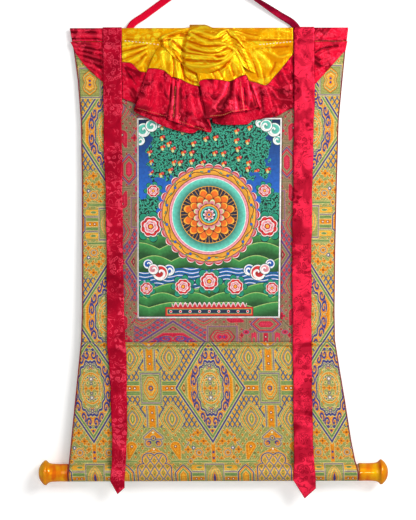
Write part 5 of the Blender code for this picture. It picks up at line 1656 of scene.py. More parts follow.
def cover_grid(rows, steps, part):
    """Points, flat coordinates and painted light and shade, from folds and ripples, of one part. Down
    a line, x moves by a power of the way down and the depth grows evenly; ripples run along the cloth
    and grow towards the hem."""
    along, fine = strip_rows(rows)
    x_top, x_hem, depth_top, depth_hem, z_top, z_seam, z_hem = [column[None, :] for column in fine.T]
    w = np.linspace(0, 1, steps)[:, None]
    z = mix(z_top, z_seam, w) if part == "field" else mix(z_seam - SEAM_DROP, z_hem, w)
    down = (z_top - z) / (z_top - z_hem)
    x = mix(x_top, x_hem, down**SPREAD)
    depth = mix(depth_top, depth_hem, down)
    loose = soft_step((depth - FLAT_DEPTH) / 3.0)
    s = along[None, :]
    ripple = np.sin(s / 6.1 + 1.6 * np.sin(s / 41.0) + 1.5 * down) * np.sin(s / 23.0 + 2.0 * down)
    swell = np.sin(s / 15.0 + 2.2 * np.sin(down * 2.5) + 0.7)
    relief = fold_lines(x, z, COVER_FOLDS[part])
    room = np.clip((depth - 2.0) / TROUGH_ROOM, 0.1, 1.0)
    waves = loose * down * (0.25 * ripple + 0.45 * swell)
    depth = depth + waves + np.maximum(relief, 0.0) + np.minimum(relief, 0.0) * room
    grid = at_depth(x * MM, z * MM, depth * MM)
    return grid, np.stack([s + 0 * z, z], axis=-1) * MM, relief / MARK_HEIGHT + 0.25 * waves


def add_cover(name, rows, steps, part, finish, node):
    """One part of the cover as a piece."""
    grid, flat, painted_shading = cover_grid(rows, steps, part)
    print(name, grid.shape)
    return add_cloth(name, grid, flat, SILK_THICKNESS, finish, [node], painted_shading)


side_left = add_cover("cover_side_left", SIDE_LEFT_ROWS, 70, "left", red_damask,
                      "veil_side_left")
side_right = add_cover("cover_side_right", SIDE_RIGHT_ROWS, 70, "right", red_damask,
                       "veil_side_right")
hem = add_cover("cover_hem", FIELD_ROWS, 56, "hem", red_damask, "veil_hem")

# %% [markdown]
# The middle of the cover is drawn up over the heading. It is a second layer of folds: a rolled edge
# on the left, a broad wrap whose folds sag between the roll and a pinch, and a slanting roll on the
# right. Two small tables give each fold's path from the heading down.

# %% The drawn-up middle
# columns: tip, outer roll, groove, inner roll, pit, wrap edge, crown, sag, pinch, slanting roll, foot
FOLD_BOTTOM = np.array([-230.0, -231.5, -234.0, -236.5, -239.2, -243.8, -246.1, -236.9, -211.6,
                        -232.3, -239.2])
FOLD_X = np.array([
    (0.00, -47.0, -46.2, -45.2, -44.4, -43.7, -41.4, -10.4, 17.2, 35.6, 44.9, 56.4),
    (0.10, -84.0, -77.0, -69.0, -62.0, -54.1, -46.0, -8.0, 21.9, 40.3, 51.8, 65.6),
    (0.25, -117.3, -108.0, -97.0, -85.0, -62.0, -50.6, -5.8, 26.4, 44.9, 59.8, 77.1),
    (0.40, -113.9, -106.0, -97.0, -86.0, -64.0, -54.1, -3.5, 29.9, 49.5, 67.9, 86.3),
    (0.55, -102.4, -96.0, -89.0, -81.0, -66.0, -56.4, -3.5, 32.2, 52.9, 74.8, 93.2),
    (0.70, -86.3, -81.5, -77.0, -72.0, -64.4, -56.4, -1.2, 34.5, 55.2, 80.5, 98.9),
    (0.85, -67.9, -64.5, -61.5, -59.0, -56.4, -50.6, -1.2, 33.4, 56.4, 85.1, 103.5),
    (1.00, -51.8, -48.5, -46.0, -43.0, -38.0, -31.1, 1.2, 31.1, 57.5, 89.7, 107.0),
])
FOLD_DEPTH = np.array([
    (0.00, 4.2, 5.0, 5.0, 6.0, 6.0, 8.0, 9.0, 9.0, 8.0, 6.0, 4.2),
    (0.10, 4.0, 8.5, 5.5, 8.0, 5.0, 12.0, 14.0, 13.0, 9.0, 9.0, 4.0),
    (0.25, 4.0, 11.0, 6.5, 10.5, 5.5, 16.0, 19.0, 16.0, 9.5, 12.0, 4.0),
    (0.40, 2.2, 12.0, 7.5, 12.0, 6.5, 19.0, 22.0, 19.0, 10.0, 14.0, 2.2),
    (0.55, 5.2, 13.0, 9.6, 12.5, 7.5, 20.0, 24.0, 21.0, 11.0, 15.0, 2.0),
    (0.70, 5.6, 13.0, 10.6, 12.5, 8.5, 20.0, 25.0, 22.0, 12.0, 14.0, 2.0),
    (0.85, 6.2, 12.5, 11.0, 12.5, 10.5, 18.0, 23.0, 20.0, 13.0, 12.5, 2.0),
    (1.00, 6.8, 10.5, 10.0, 10.5, 10.5, 12.5, 13.0, 13.0, 12.5, 10.0, 2.0),
])
# folds of the drawn-up middle: half width, height, then x, z of each point (mm)
WRAP_FOLDS = (
    # the wrap's sagging folds, from the top down
    (2.6, 1.6, -41, -138, -14, -147, 10, -155, 25, -144, 42, -137),
    (2.2, -1.6, -43, -144, -22, -154, 2, -162, 22, -158, 36, -146),
    (2.8, 2.6, -44, -149, -22, -163, 0, -170, 22, -170, 42, -175, 58, -187, 68, -204, 79, -232),
    (2.2, -2.2, -52, -163, -30, -172, -5, -178, 18, -177, 34, -176),
    (2.6, 2.2, -54, -171, -38, -179, -16, -187, 4, -188, 22, -182, 38, -175),
    (2.2, -2.0, -55, -181, -32, -188, -8, -194, 18, -193, 40, -182, 50, -186),
    (2.4, 1.8, -55, -188, -32, -193, -10, -197, 6, -198, 22, -194, 44, -187),
    (2.0, -1.6, -55, -193, -28, -196, 0, -200, 20, -202),
    (2.4, 2.2, -55, -198, -22, -201, 4, -203, 16, -208, 30, -206, 44, -194),
    (2.6, -2.4, 12, -199, 20, -202, 30, -200), (3.2, -3.0, -55, -209, -26, -212, 0, -213, 24, -211),
    (3.0, 2.8, -56, -219, -36, -223, -14, -225, 6, -222, 28, -214, 46, -202, 54, -192),
    (2.8, -3.4, -57, -229, -36, -239, -12, -246, 12, -237, 32, -224, 46, -210),
    # slanting rolls on the right
    (1.8, -2.2, 38, -141, 46, -152, 60, -162, 76, -180), (2.2, 1.2, 46, -139, 60, -154, 79, -177),
    (1.8, 1.0, 79, -184, 92, -212, 103, -236), (1.8, -1.1, 64, -187, 80, -213, 94, -240),
    (1.6, -0.7, 72, -158, 84, -170, 92, -188),
    (1.8, 0.8, 66, -142, 80, -156, 90, -170), (1.6, -0.7, 60, -136, 72, -144, 86, -154),
    # rolled edges on the left
    (2.4, 1.6, -116, -158, -99, -149, -78, -142, -52, -137),
    (2.0, -1.2, -112, -163, -96, -154, -74, -148, -52, -144),
    (2.0, 1.6, -97, -158, -72, -156, -48, -157), (2.4, -2.1, -110, -164, -102, -162, -92, -160),
    (2.4, -2.1, -68, -151, -58, -149, -48, -152), (2.6, -2.5, -86, -164, -72, -176, -58, -190),
    (2.2, 2.0, -101, -167, -84, -180, -68, -191, -55, -200),
    (2.0, 1.3, -90, -160, -94, -168, -85, -176), (2.4, -1.7, -119, -171, -112, -177, -102, -186),
    (3.0, 1.0, -100, -180, -82, -197, -64, -210), (2.2, -1.7, -94, -176, -76, -190, -60, -204),
    (3.0, -2.2, -78, -200, -67, -214, -60, -238), (2.0, 1.0, -74, -164, -66, -174, -56, -182),
)
# depth and height of the rows above the first: over the heading, or tucked in front of it (mm)
DRAWN_BEHIND = ((-3.5, -145.0), (-3.5, -132.2), (0.0, -125.2))
DRAWN_TUCKED = ((3.2, -138.0), (3.2, -135.5), (3.4, -133.5))
OVER_TO_X, OVER_FADE = -14.0, 26.0
TUCK_DROP = 1.6
DRAWN_STEPS, FOLD_STEPS = 140, 20


def smooth_table(table, levels, columns):
    """A table with levels down and folds across, made finer both ways by smooth curves."""
    down = smooth_through(table[:, 0], table[:, 1:], levels)
    return smooth_through(np.arange(down.shape[1]), down.T, columns).T


def running_lengths(grid, axis):
    """Distance along each line of a grid of points, from the line's first point."""
    steps = np.linalg.norm(np.diff(grid, axis=axis), axis=2)
    start = 0.0 * np.take(steps, [0], axis=axis)
    return np.cumsum(np.concatenate([start, steps], axis=axis), axis=axis)


levels = np.linspace(0, 1, DRAWN_STEPS)
columns = np.linspace(0, len(FOLD_BOTTOM) - 1, FOLD_STEPS * (len(FOLD_BOTTOM) - 1) + 1)
x = smooth_table(FOLD_X, levels, columns)
depth = smooth_table(FOLD_DEPTH, levels, columns)
bottom = smooth_through(np.arange(len(FOLD_BOTTOM)), FOLD_BOTTOM[:, None], columns)[:, 0]
level, column = levels[:, None], columns[None, :]
top = HEADING_TOP / MM - TUCK_DROP * soft_step((x[:1] - OVER_TO_X) / OVER_FADE)
z = mix(top, bottom[None, :], level)

relief = fold_lines(x, z, WRAP_FOLDS) * soft_step(level * 12.0)
drape = np.sin(2 * np.pi * (level * 11.0 + 0.8 * np.sin(column * 0.9))) * 0.25
depth = depth + relief + drape * np.sin(np.pi * level)
front = at_depth(x * MM, z * MM, depth * MM)

over = 1.0 - soft_step((x[0] - OVER_TO_X) / OVER_FADE)
rows = []
for (back_depth, back_z), (tuck_depth, tuck_z) in zip(DRAWN_BEHIND, DRAWN_TUCKED):
    rows.append(np.stack([x[0] * MM, CLOTH_TOP_Y - mix(tuck_depth, back_depth, over) * MM,
                          mix(tuck_z, back_z, over) * MM], axis=-1))
drawn = np.concatenate([np.array(rows), front])
drawn_flat = np.stack([running_lengths(drawn, 1), -running_lengths(drawn, 0)], axis=-1)
field = add_cover("cover_field", FIELD_ROWS, 50, "field", yellow_silk, "veil_field")
# The wrap's folds and drape are painted as well: lighter on ridges, in shade in troughs.
painted_shading = np.concatenate([np.zeros((len(rows), len(columns))), relief / MARK_HEIGHT + drape])
wrap = add_cloth("cover_wrap", drawn, drawn_flat, SILK_THICKNESS, yellow_silk, [], painted_shading)
print("cover_wrap", drawn.shape)

# %% [markdown]
# Sewing shows in a few places: long white stitches hold the cover to the heading, and gold thread
# runs along its hems. Each line is one mesh of many small stitches, laid on the cloth by asking how
# far away its front is. A stitch is a short rod, thinner at its ends, flattened against the cloth.

# %% Stitches
STITCH_SIDES = 6
STITCH_DEPTH = np.array([0.0, 0.6, 0.0])         # flattened to this share of its thickness
STITCH_RISE = 0.25           # share of its thickness by which it stands out of the cloth
# a stitch's section: share of its length, share of its thickness
STITCH_PROFILE = np.array([(0.0, 0.3), (0.12, 0.8), (0.5, 1.0), (0.88, 0.8), (1.0, 0.3)])
# name, thread, pitch, length, thickness, then points x, z (mm)
STITCH_LINES = (
    ("heading_stitches_left", "white", 7.6, 4.0, 1.7, (-199.0, -161.7), (-160.0, -166.0),
     (-116.0, -171.4)),
    ("heading_stitches_right", "white", 7.2, 4.4, 1.8, (112.0, -172.0), (150.0, -168.6),
     (188.5, -164.9)),
    ("hem_stitches_right", "gold", 4.2, 3.0, 0.9, (-1.0, -338.0), (28.0, -335.5), (52.0, -327.0),
     (86.0, -322.0)),
    ("hem_stitches_left", "gold", 4.6, 2.8, 0.7, (-168.0, -318.5), (-140.0, -326.0), (-103.0, -337.0)),
    ("hem_stitches_middle", "gold", 4.6, 2.8, 0.7, (-74.0, -347.5), (-45.0, -357.5), (-8.0, -370.5)),
    ("seam_stitches_left", "gold", 3.6, 2.8, 0.8, (-79.5, -268.0), (-82.0, -300.0), (-84.0, -340.0)),
    ("seam_stitches_right", "gold", 3.8, 2.8, 0.8, (69.5, -258.0), (73.0, -290.0), (76.5, -322.0)),
)


def make_thread(name, colour, shade):
    """Twisted sewing thread: fine light and dark stripes along the place on the object."""
    material, tree, shader = bare_material(name, Roughness=0.5)
    place = tree.nodes.new("ShaderNodeTexCoord")
    strands = add_node(tree, "TexNoise", Vector=place.outputs["Object"], Scale=900.0)
    fill(tree, shader, Base_Color=ramp(tree, strands.outputs["Fac"], [(0.4, shade), (0.6, colour)]))
    return material


threads = {"white": make_thread("white thread", srgb(250, 246, 236), srgb(206, 196, 176)),
           "gold": make_thread("gold thread", srgb(240, 170, 90), srgb(196, 96, 50))}
bpy.context.view_layer.update()
depsgraph = bpy.context.evaluated_depsgraph_get()
sewn_cloths = [piece.evaluated_get(depsgraph) for piece in (heading_yellow, hem, field, wrap)]


def front_of_cloth(x, z):
    """y of the sewn cloths' front at x and z: the nearest hit of a ray sent back from before them."""
    hits = [cloth.ray_cast((x, -0.2, z), (0.0, 1.0, 0.0)) for cloth in sewn_cloths]
    return min([hit[1].y for hit in hits if hit[0]], default=CLOTH_TOP_Y)


for name, thread, pitch, length, thickness, *points in STITCH_LINES:
    points = np.array(points)
    stations = arc_lengths(points)
    count = int(stations[-1] / pitch)
    at = (np.arange(count) + 0.5) * stations[-1] / count
    ends = [smooth_through(stations, points, at + side * length / 2) * MM for side in (-1, 1)]
    starts, stops = [np.stack([end[:, 0], [front_of_cloth(x, z) for x, z in end], end[:, 1]], axis=-1)
                     for end in ends]
    run = stops - starts
    beside = np.stack([-run[:, 2], 0 * run[:, 0], run[:, 0]], axis=-1)
    beside /= np.linalg.norm(beside, axis=1)[:, None]
    turn = np.arange(STITCH_SIDES) * 2 * math.pi / STITCH_SIDES
    share, size = STITCH_PROFILE[:, 0], STITCH_PROFILE[:, 1] * thickness * MM / 2
    middle = starts[:, None, :] + run[:, None, :] * share[None, :, None]
    middle[..., 1] -= STITCH_RISE * thickness * MM
    out, up = [(size[:, None] * wave(turn))[None, :, :, None] for wave in (np.cos, np.sin)]
    grid = middle[:, :, None, :] + beside[:, None, None, :] * out + STITCH_DEPTH * up
    number = np.arange(len(share) * STITCH_SIDES).reshape(len(share), STITCH_SIDES)
    after = np.roll(number, -1, axis=1)
    sides = np.stack([number[:-1], after[:-1], after[1:], number[1:]], axis=-1).reshape(-1, 4)
    offsets = np.arange(count) * number.size
    faces = (sides[None] + offsets[:, None, None]).reshape(-1, 4).tolist()
    for end in (number[0, ::-1], number[-1]):
        faces += (end[None] + offsets[:, None]).tolist()
    mesh = bpy.data.meshes.new(name)
    mesh.from_pydata(grid.reshape(-1, 3).tolist(), [], faces)
    add_piece(name, mesh, threads[thread], [])
    print(name, count, "stitches")

# %% [markdown]
# The ribbons go over the heading, hang free down the face, bow out over the sleeve and end in a
# point. One row of a table is a line across the ribbon. Soft breaks stand out of the cloth, and
# bands are painted lighter or darker where it faces the light or turns away. The right ribbon is
# painted lighter than the left, as lit, and its damask figure painted darker, as sheen turned away.

# %% Ribbons
# z, left edge, right edge, depth (mm)
RIBBON_LEFT_ROWS = np.array([
    (-138, -247.0, -203.5, 3.5), (-158, -247.0, -203.5, 3.8), (-172, -246.7, -203.5, 6.3),
    (-190, -246.3, -203.5, 7.2), (-240, -245.8, -203.3, 7.4), (-300, -245.4, -203.1, 7.0),
    (-330, -245.4, -203.1, 5.2), (-368, -245.4, -203.1, 3.6), (-450, -243.0, -202.6, 4.4),
    (-529, -240.3, -201.9, 4.8), (-650, -239.0, -200.6, 3.6), (-760, -238.0, -199.0, 4.6),
    (-846, -238.0, -195.5, 5.6), (-862, -237.0, -194.7, 6.6), (-882, -235.0, -193.6, 5.2),
    (-943, -231.2, -192.0, 3.8), (-1000, -229.0, -191.9, 4.6), (-1058, -226.6, -192.0, 6.0),
    (-1085, -226.6, -192.6, 8.2), (-1112, -226.6, -193.2, 13.5), (-1132, -226.6, -193.8, 19.4),
    (-1146, -227.4, -195.0, 21.3), (-1165, -228.8, -197.4, 21.3),
])
RIBBON_RIGHT_ROWS = np.array([
    (-138, 192.5, 239.9, 3.5), (-158, 192.5, 239.9, 3.8), (-172, 192.5, 239.9, 6.3),
    (-190, 192.5, 239.9, 7.0), (-240, 192.5, 239.9, 7.2), (-300, 192.5, 239.8, 6.8),
    (-330, 192.2, 239.0, 5.0), (-368, 191.8, 237.6, 3.6), (-450, 190.6, 235.2, 4.0),
    (-529, 189.2, 233.6, 4.6), (-650, 186.6, 231.4, 3.6), (-760, 187.0, 230.8, 4.2),
    (-846, 187.4, 230.8, 5.4), (-862, 187.4, 230.8, 6.6), (-882, 187.4, 230.8, 5.0),
    (-943, 187.8, 231.2, 3.8), (-1000, 188.2, 231.8, 4.4), (-1058, 188.6, 232.4, 6.0),
    (-1085, 188.6, 233.0, 8.4), (-1112, 188.4, 234.2, 13.8), (-1132, 188.0, 235.6, 19.4),
    (-1146, 187.6, 236.6, 21.3), (-1165, 187.2, 237.4, 21.3),
])
RIBBON_LEFT_END = (-1170.5, -1199.0, -1184.5)
RIBBON_RIGHT_END = (-1168.5, -1210.0, -1187.0)
RIBBON_TAIL_Z = -0.1440
ribbon_half_depth = HEADING_FOLD_RADIUS + SILK_THICKNESS / 2 + SEAM_GAP + RIBBON_THICKNESS / 2
ribbon_top = HEADING_TOP + SEAM_GAP + RIBBON_THICKNESS / 2
# soft breaks across a ribbon: z, its slope across, height (mm)
LEFT_BREAKS = ((-352, 0.1, 0.7), (-560, -0.2, 0.6), (-846, 0.15, 1.2), (-1036, 0.25, 1.0),
               (-1046, -0.2, 0.8), (-1092, 0.35, 1.2))
RIGHT_BREAKS = ((-400, -0.1, 0.6), (-610, 0.2, 0.6), (-852, -0.1, 0.9), (-1010, 0.2, 0.7),
                (-1096, -0.25, 1.0))
# bands that face away from the light (mark below 0) or to it: upper edge's z at the left and at the
# right, width (mm), mark
LEFT_BANDS = ((-700, -704, 40, -0.2), (-850, -846, 18, 0.25), (-990, -986, 26, -0.1),
              (-1040, -1036, 38, -0.1), (-1077, -1085, 18, 0.35), (-1098, -1104, 38, -0.12),
              (-1135, -1148, 22, 0.5))
RIGHT_BANDS = ((-640, -648, 14, -0.3), (-860, -856, 9, -0.35), (-1008, -1014, 11, -0.4),
               (-1042, -1050, 22, -0.25))
BAND_TOP_SOFT, BAND_FOOT_SOFT = 1.8, 3.5         # mm over which a band's edges fade
BREAK_HALF_HEIGHT = 7.0
RIBBON_LIFT = 1.4            # mm that the cloth stands off further than its solid, between its ends
RIBBON_COLUMNS, RIBBON_STEPS, END_STEPS = 17, 560, 11

for name, node, table, ends, breaks, bands, finish, painted_ribbon_shade in (
        ("left_ribbon", "ribbon_left", RIBBON_LEFT_ROWS, RIBBON_LEFT_END, LEFT_BREAKS, LEFT_BANDS,
         ribbon_damask, -0.2),
        ("right_ribbon", "ribbon_right", RIBBON_RIGHT_ROWS, RIBBON_RIGHT_END, RIGHT_BREAKS, RIGHT_BANDS,
         ribbon_damask_painted_lit, -0.1)):
    across = np.linspace(0, 1, RIBBON_COLUMNS)
    back_depth, back_z = over_the_top(ribbon_half_depth, ribbon_top, RIBBON_TAIL_Z, 12)
    behind = np.stack([mix(table[0, 1], table[0, 2], across)[None, :] * MM + 0 * back_z[:, None],
                       CLOTH_TOP_Y - back_depth[:, None] + 0 * across[None, :],
                       back_z[:, None] + 0 * across[None, :]], axis=-1)
    fine_z = np.linspace(-table[0, 0], -table[-1, 0], RIBBON_STEPS)
    fine = smooth_through(-table[:, 0], table[:, 1:], fine_z)
    waver = 0.45 * np.sin(fine_z[:, None] / 24.0) + 0.3 * np.sin(fine_z[:, None] / 9.0 + 2.0)
    x = mix(fine[:, :1] + waver, fine[:, 1:2] - waver[::-1], across[None, :])
    z = np.repeat(-fine_z[:, None], len(across), axis=1)
    middle_x = (fine[:, :1] + fine[:, 1:2]) / 2
    bow = 0.5 * np.sin(z / 37.0) + 0.35 * np.sin(z / 14.0 + 1.0)
    curl = (2 * across[None, :] - 1.0) ** 2 * (0.6 + bow) * soft_step((-165.0 - z) / 30.0)
    lift = RIBBON_LIFT + 0.25 * np.sin(x / 5.0 + z / 31.0) * np.sin(z / 17.0)
    for break_z, slope, height in breaks:
        lift = lift + height * round_bump((z - break_z - slope * (x - middle_x)) / BREAK_HALF_HEIGHT)
    free = soft_step((-150.0 - z) / 25.0) * soft_step((z + 1128.0) / 30.0)
    stands_off = (fine[:, 2:3] + (lift - 0.5 * curl) * free) * MM
    face = np.stack([x * MM, cloth_y(middle_x * MM, z * MM) - stands_off, z * MM], axis=-1)
    end_z = np.interp(across, (0.0, 0.5, 1.0), ends) * MM
    tail = np.repeat(face[-1:], END_STEPS, axis=0)
    tail[..., 2] = mix(face[-1:, :, 2], end_z[None, :], np.linspace(0, 1, END_STEPS + 1)[1:, None])
    grid = np.concatenate([behind, face, tail])
    down_cloth = arc_lengths(grid[:, RIBBON_COLUMNS // 2, :])
    flat = np.stack([grid[..., 0], -np.repeat(down_cloth[:, None], RIBBON_COLUMNS, axis=1)], axis=-1)
    down_face = -grid[..., 2] / MM
    # Marks of painted light and shade: each ribbon starts in painted shade, the left one deeper, a slow
    # wave paints sheen and shade along it, and the bands are painted lighter or darker.
    slow = np.sin(down_face / 61.0 + 1.0) * np.sin(down_face / 23.0 + grid[..., 0] / MM / 15.0)
    painted_shading = painted_ribbon_shade + 0.2 * slow
    for left_z, right_z, width, mark in bands:
        below = mix(left_z, right_z, across)[None, :] + down_face
        above_foot = soft_step((width - below) / BAND_FOOT_SOFT + 0.5)
        painted_shading = painted_shading + mark * soft_step(below / BAND_TOP_SOFT + 0.5) * above_foot
    ribbon = add_cloth(name, grid, flat, RIBBON_THICKNESS, finish, [node], painted_shading)

# %% [markdown]
# The hanging tape is a flat woven strip. It lies flat behind the heading and turns on edge over the
# nail, so each row of its table has a twist as well as a place.

# %% Hanging tape
# x, y, z of its middle line (mm), twist from flat (degrees)
TAPE_ROWS = np.array([
    (-186.3, 8.3, -150.0, 0), (-186.3, 8.3, -138.0, 0), (-181.0, 8.3, -125.5, 0),
    (-150.0, 8.2, -102.6, 2), (-103.5, 7.0, -69.0, 10), (-60.0, 4.4, -39.5, 34),
    (-25.0, 1.6, -15.7, 68), (-8.0, 0.2, -4.2, 87), (-1.7, 0.0, 0.1, 90), (0.0, 0.0, 0.6, 90),
    (1.7, 0.0, 0.1, 90), (8.0, 0.2, -3.9, 88), (25.0, 1.4, -14.6, 78), (60.0, 4.2, -36.9, 62),
    (110.4, 7.4, -69.0, 45), (160.0, 9.4, -101.8, 16), (194.0, 10.1, -124.6, 0),
    (201.5, 10.1, -138.0, 0), (201.5, 10.1, -150.0, 0),
])
TAPE_WIDTH, TAPE_THICKNESS, TAPE_COLUMNS = 0.016, 0.0012, 7
stations = arc_lengths(TAPE_ROWS[:, :3])
at = np.linspace(0, stations[-1], 300)
middle = smooth_through(stations, TAPE_ROWS, at)
points = middle[:, :3] * MM
ahead = np.gradient(points, axis=0)
upright = np.stack([-ahead[:, 2], np.zeros(len(at)), ahead[:, 0]], axis=-1)
upright /= np.linalg.norm(upright, axis=1)[:, None]
twist = np.radians(middle[:, 3])[:, None]
across = upright * np.cos(twist) + np.array([[0.0, 1.0, 0.0]]) * np.sin(twist)
u = np.linspace(0.5, -0.5, TAPE_COLUMNS)[None, :, None]
grid = points[:, None, :] + across[:, None, :] * TAPE_WIDTH * u
flat = np.stack([np.repeat(u[..., 0] * TAPE_WIDTH, len(at), axis=0),
                 np.repeat(at[:, None] * MM, TAPE_COLUMNS, axis=1)], axis=-1)
# The tape's left leg is painted lighter and its right leg, turned away from the light, painted in
# shade.
in_shade = soft_step(grid[..., 0] / 0.04 + 0.5)
tape = add_cloth("tape", grid, flat, TAPE_THICKNESS, red_tape, ["hanging_tape"],
                 mix(0.3, -0.8, in_shade))

# %% [markdown]
# The knobs are turned wood under amber lacquer: a neck that fits over the roller's end and a flared
# rim with a low dome. A profile turned round the roller's axis gives the shape. Its distance along
# the profile is in the UV map too, where the lacquer is painted darker as shade: at the neck's end,
# against the sleeve, and in the hollow under the rim.

# %% Knobs and roller
# distance along the roller from the sleeve's end, radius (mm), from the socket round to the dome
KNOB_PROFILE = np.array([
    (0.0, 18.3), (0.0, 19.8), (0.8, 20.3), (15.0, 20.0), (33.0, 20.5), (41.0, 21.8), (45.5, 24.2),
    (48.5, 27.4), (50.5, 28.6), (53.0, 28.2), (56.5, 25.6), (61.0, 20.5), (65.0, 13.5), (67.0, 6.0),
    (67.5, 0.0),
])
SOCKET_DEPTH, SOCKET_RADIUS = 40.0, 18.3


def stretched_grain(tree, stretch, **values):
    """A noise over the place on the object, finer along some axes than along others."""
    place = tree.nodes.new("ShaderNodeTexCoord")
    mapping = add_node(tree, "Mapping", Vector=place.outputs["Object"], Scale=stretch)
    return add_node(tree, "TexNoise", Vector=mapping.outputs[0], Scale=1.0, **values).outputs["Fac"]


def make_lacquer():
    """Amber lacquer over turned wood: cloudy streaks, painted shade at the neck's end and in the hollow
    under the rim, and a hard gloss."""
    material, tree, shader = bare_material(
        "amber lacquer", Roughness=0.3, Specular_IOR_Level=0.1, Specular_Tint=srgb(250, 170, 20),
        Metallic=0.3, Coat_Weight=0.45, Coat_Roughness=0.03, Coat_IOR=1.65)
    grain = stretched_grain(tree, (46.0, 30.0, 30.0), Detail=4.0)
    colour = ramp(tree, grain, [(0.36, srgb(240, 112, 0)), (0.64, srgb(255, 190, 0))])
    along = split(flat_coordinates(tree))[1] / (KNOB_PROFILE[-1, 0] * MM)
    painted_lacquer_shade = ramp(tree, along, [(0.0, srgb(212, 168, 140)), (0.16, srgb(250, 242, 236)),
                              (0.56, srgb(255, 255, 255)), (0.69, srgb(232, 206, 170)),
                              (0.78, srgb(244, 232, 200)), (0.92, srgb(255, 255, 255))])
    fill(tree, shader, Base_Color=mix_colours(tree, 1.0, colour, painted_lacquer_shade, "MULTIPLY"))
    return material


amber_lacquer = make_lacquer()
profile_stations = arc_lengths(KNOB_PROFILE)
fine_at = np.linspace(0, profile_stations[-1], 70)
outer = smooth_through(profile_stations, KNOB_PROFILE, fine_at)
socket = np.array([(SOCKET_DEPTH, 0.0), (SOCKET_DEPTH, SOCKET_RADIUS)])
profile = np.concatenate([socket, outer]) * MM
turns = np.linspace(0, 2 * math.pi, 97)
for name, node, end, outward in (("left_knob", "knob_left", SLEEVE_LEFT - 2 * SEAM_GAP, -1),
                                 ("right_knob", "knob_right", SLEEVE_RIGHT + 2 * SEAM_GAP, 1)):
    along, radius = profile[:, 0][:, None], profile[:, 1][:, None]
    grid = np.stack([end + outward * along + 0 * turns[None, :],
                     ROD_AXIS_Y + radius * np.cos(turns)[None, :],
                     ROD_AXIS_Z + outward * radius * np.sin(turns)[None, :]], axis=-1)
    flat = np.stack([turns[None, :] * 0.02 + 0 * along, along + 0 * turns[None, :]], axis=-1)
    mesh = mesh_from_grid(name, grid, flat)
    knob = add_piece(name, mesh, amber_lacquer, [node])
    weld = knob.modifiers.new("closed seam", "WELD")
    weld.merge_threshold = 0.00002


def make_wood():
    """Plain softwood for the roller: long streaks along it."""
    material, tree, shader = bare_material("plain wood", Roughness=0.6)
    grain = stretched_grain(tree, (4.0, 160.0, 160.0))
    fill(tree, shader,
         Base_Color=ramp(tree, grain, [(0.3, srgb(142, 100, 60)), (0.7, srgb(196, 152, 102))]))
    return material


rod = frame["nodes"]["roller_rod"]
rod.data.materials.clear()
rod.data.materials.append(make_wood())

# %% [markdown]
# The cover's cloths are gathered.

# %% [markdown]
# The wall, the light and the camera. The wall stands a little behind the scroll and shows only its
# front, so that the back can be looked at. The key light comes softly from the upper right, so
# shadows fall to the left and below; a weak light fills from the left, and a small low one, like a
# window, draws the long highlight on the lacquer. The camera is far away with a long lens, square
# to the wall.

# %% Wall, floor, light and camera
WALL_Y, WALL_TOP, FLOOR_Z = 0.016, 1.2, -2.30
ROOM_HALF_WIDTH, ROOM_FRONT = 2.5, -4.0


def make_wall_finish(name, colour, own_light):
    """A pale matt surface. It is see-through from behind, and to reflections, so that lacquer in
    front of it keeps deep edges."""
    material, tree, shader = bare_material(
        name, Base_Color=colour, Roughness=0.9, Specular_IOR_Level=0.1,
        Emission_Color=(1.0, 1.0, 1.0, 1.0), Emission_Strength=own_light)
    clear = tree.nodes.new("ShaderNodeBsdfTransparent")
    side = tree.nodes.new("ShaderNodeNewGeometry")
    ray = tree.nodes.new("ShaderNodeLightPath")
    chosen = tree.nodes.new("ShaderNodeMixShader")
    hidden = larger(Number(side.outputs["Backfacing"]), Number(ray.outputs["Is Glossy Ray"]))
    for place, value in enumerate((hidden, shader.outputs[0], clear.outputs[0])):
        plug(tree, value, chosen.inputs[place])
    fill(tree, tree.nodes["Material Output"], Surface=chosen.outputs[0])
    return material


def add_stage(name, corners, finish):
    """A flat stage piece from its four corners."""
    mesh = bpy.data.meshes.new(name)
    mesh.from_pydata(corners, [], [(0, 1, 2, 3)])
    piece = bpy.data.objects.new(name, mesh)
    bpy.context.scene.collection.objects.link(piece)
    mesh.materials.append(finish)


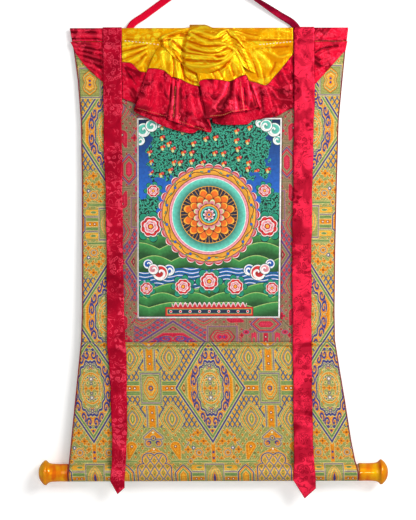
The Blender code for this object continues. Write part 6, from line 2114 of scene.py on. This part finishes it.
pale_wall = make_wall_finish("pale wall", (0.93, 0.93, 0.93, 1.0), 0.24)
pale_floor = make_wall_finish("pale floor", (0.75, 0.75, 0.75, 1.0), 0.0)
foot = [(-ROOM_HALF_WIDTH, WALL_Y, FLOOR_Z), (ROOM_HALF_WIDTH, WALL_Y, FLOOR_Z)]
add_stage("wall", foot + [(ROOM_HALF_WIDTH, WALL_Y, WALL_TOP), (-ROOM_HALF_WIDTH, WALL_Y, WALL_TOP)],
          pale_wall)
add_stage("floor", [(-ROOM_HALF_WIDTH, ROOM_FRONT, FLOOR_Z), (ROOM_HALF_WIDTH, ROOM_FRONT, FLOOR_Z)]
          + foot[::-1], pale_floor)


def add_light(name, place, target, size, power, colour=(1.0, 1.0, 1.0)):
    """An area light of a width and height at a place, turned towards a target."""
    light = bpy.data.lights.new(name, "AREA")
    light.shape = "RECTANGLE"
    light.size, light.size_y = size
    light.energy = power
    light.color = colour
    lamp = bpy.data.objects.new(name, light)
    bpy.context.scene.collection.objects.link(lamp)
    away = Vector(target) - Vector(place)
    lamp.location = place
    lamp.rotation_euler = away.to_track_quat("-Z", "Y").to_euler()


VIEW_X, VIEW_Z = -0.0060, -0.6670
FIELD_HEIGHT = 1.196         # metres of the wall that the picture is high
CAMERA_AWAY = 3.4
CAMERA_ROLL = 0.15           # degrees
add_light("key", (1.85, -2.4, 0.66), (0.0, 0.0, -0.6), (1.5, 1.5), 94.0, (1.0, 0.985, 0.96))
add_light("fill", (-1.6, -3.0, -0.6), (0.0, 0.0, -0.7), (2.0, 2.0), 18.0, (0.97, 0.985, 1.0))
add_light("window", (0.60, -3.2, -1.20), (0.37, 0.0, -1.15), (0.5, 0.4), 10.0)

world = bpy.data.worlds.new("soft room")
world.use_nodes = True
fill(world.node_tree, world.node_tree.nodes["Background"], Color=(1.0, 1.0, 1.0, 1.0), Strength=0.23)
bpy.context.scene.world = world

lens = bpy.data.cameras.new("camera")
lens.sensor_fit = "VERTICAL"
lens.sensor_height = 24.0
lens.lens = lens.sensor_height * CAMERA_AWAY / FIELD_HEIGHT
lens.clip_end = 20.0
camera = bpy.data.objects.new("camera", lens)
camera.location = (VIEW_X, -CAMERA_AWAY, VIEW_Z)
camera.rotation_euler = (math.radians(90.0), math.radians(CAMERA_ROLL), 0.0)
bpy.context.scene.collection.objects.link(camera)
bpy.context.scene.camera = camera
bpy.context.scene.view_settings.view_transform = "Standard"
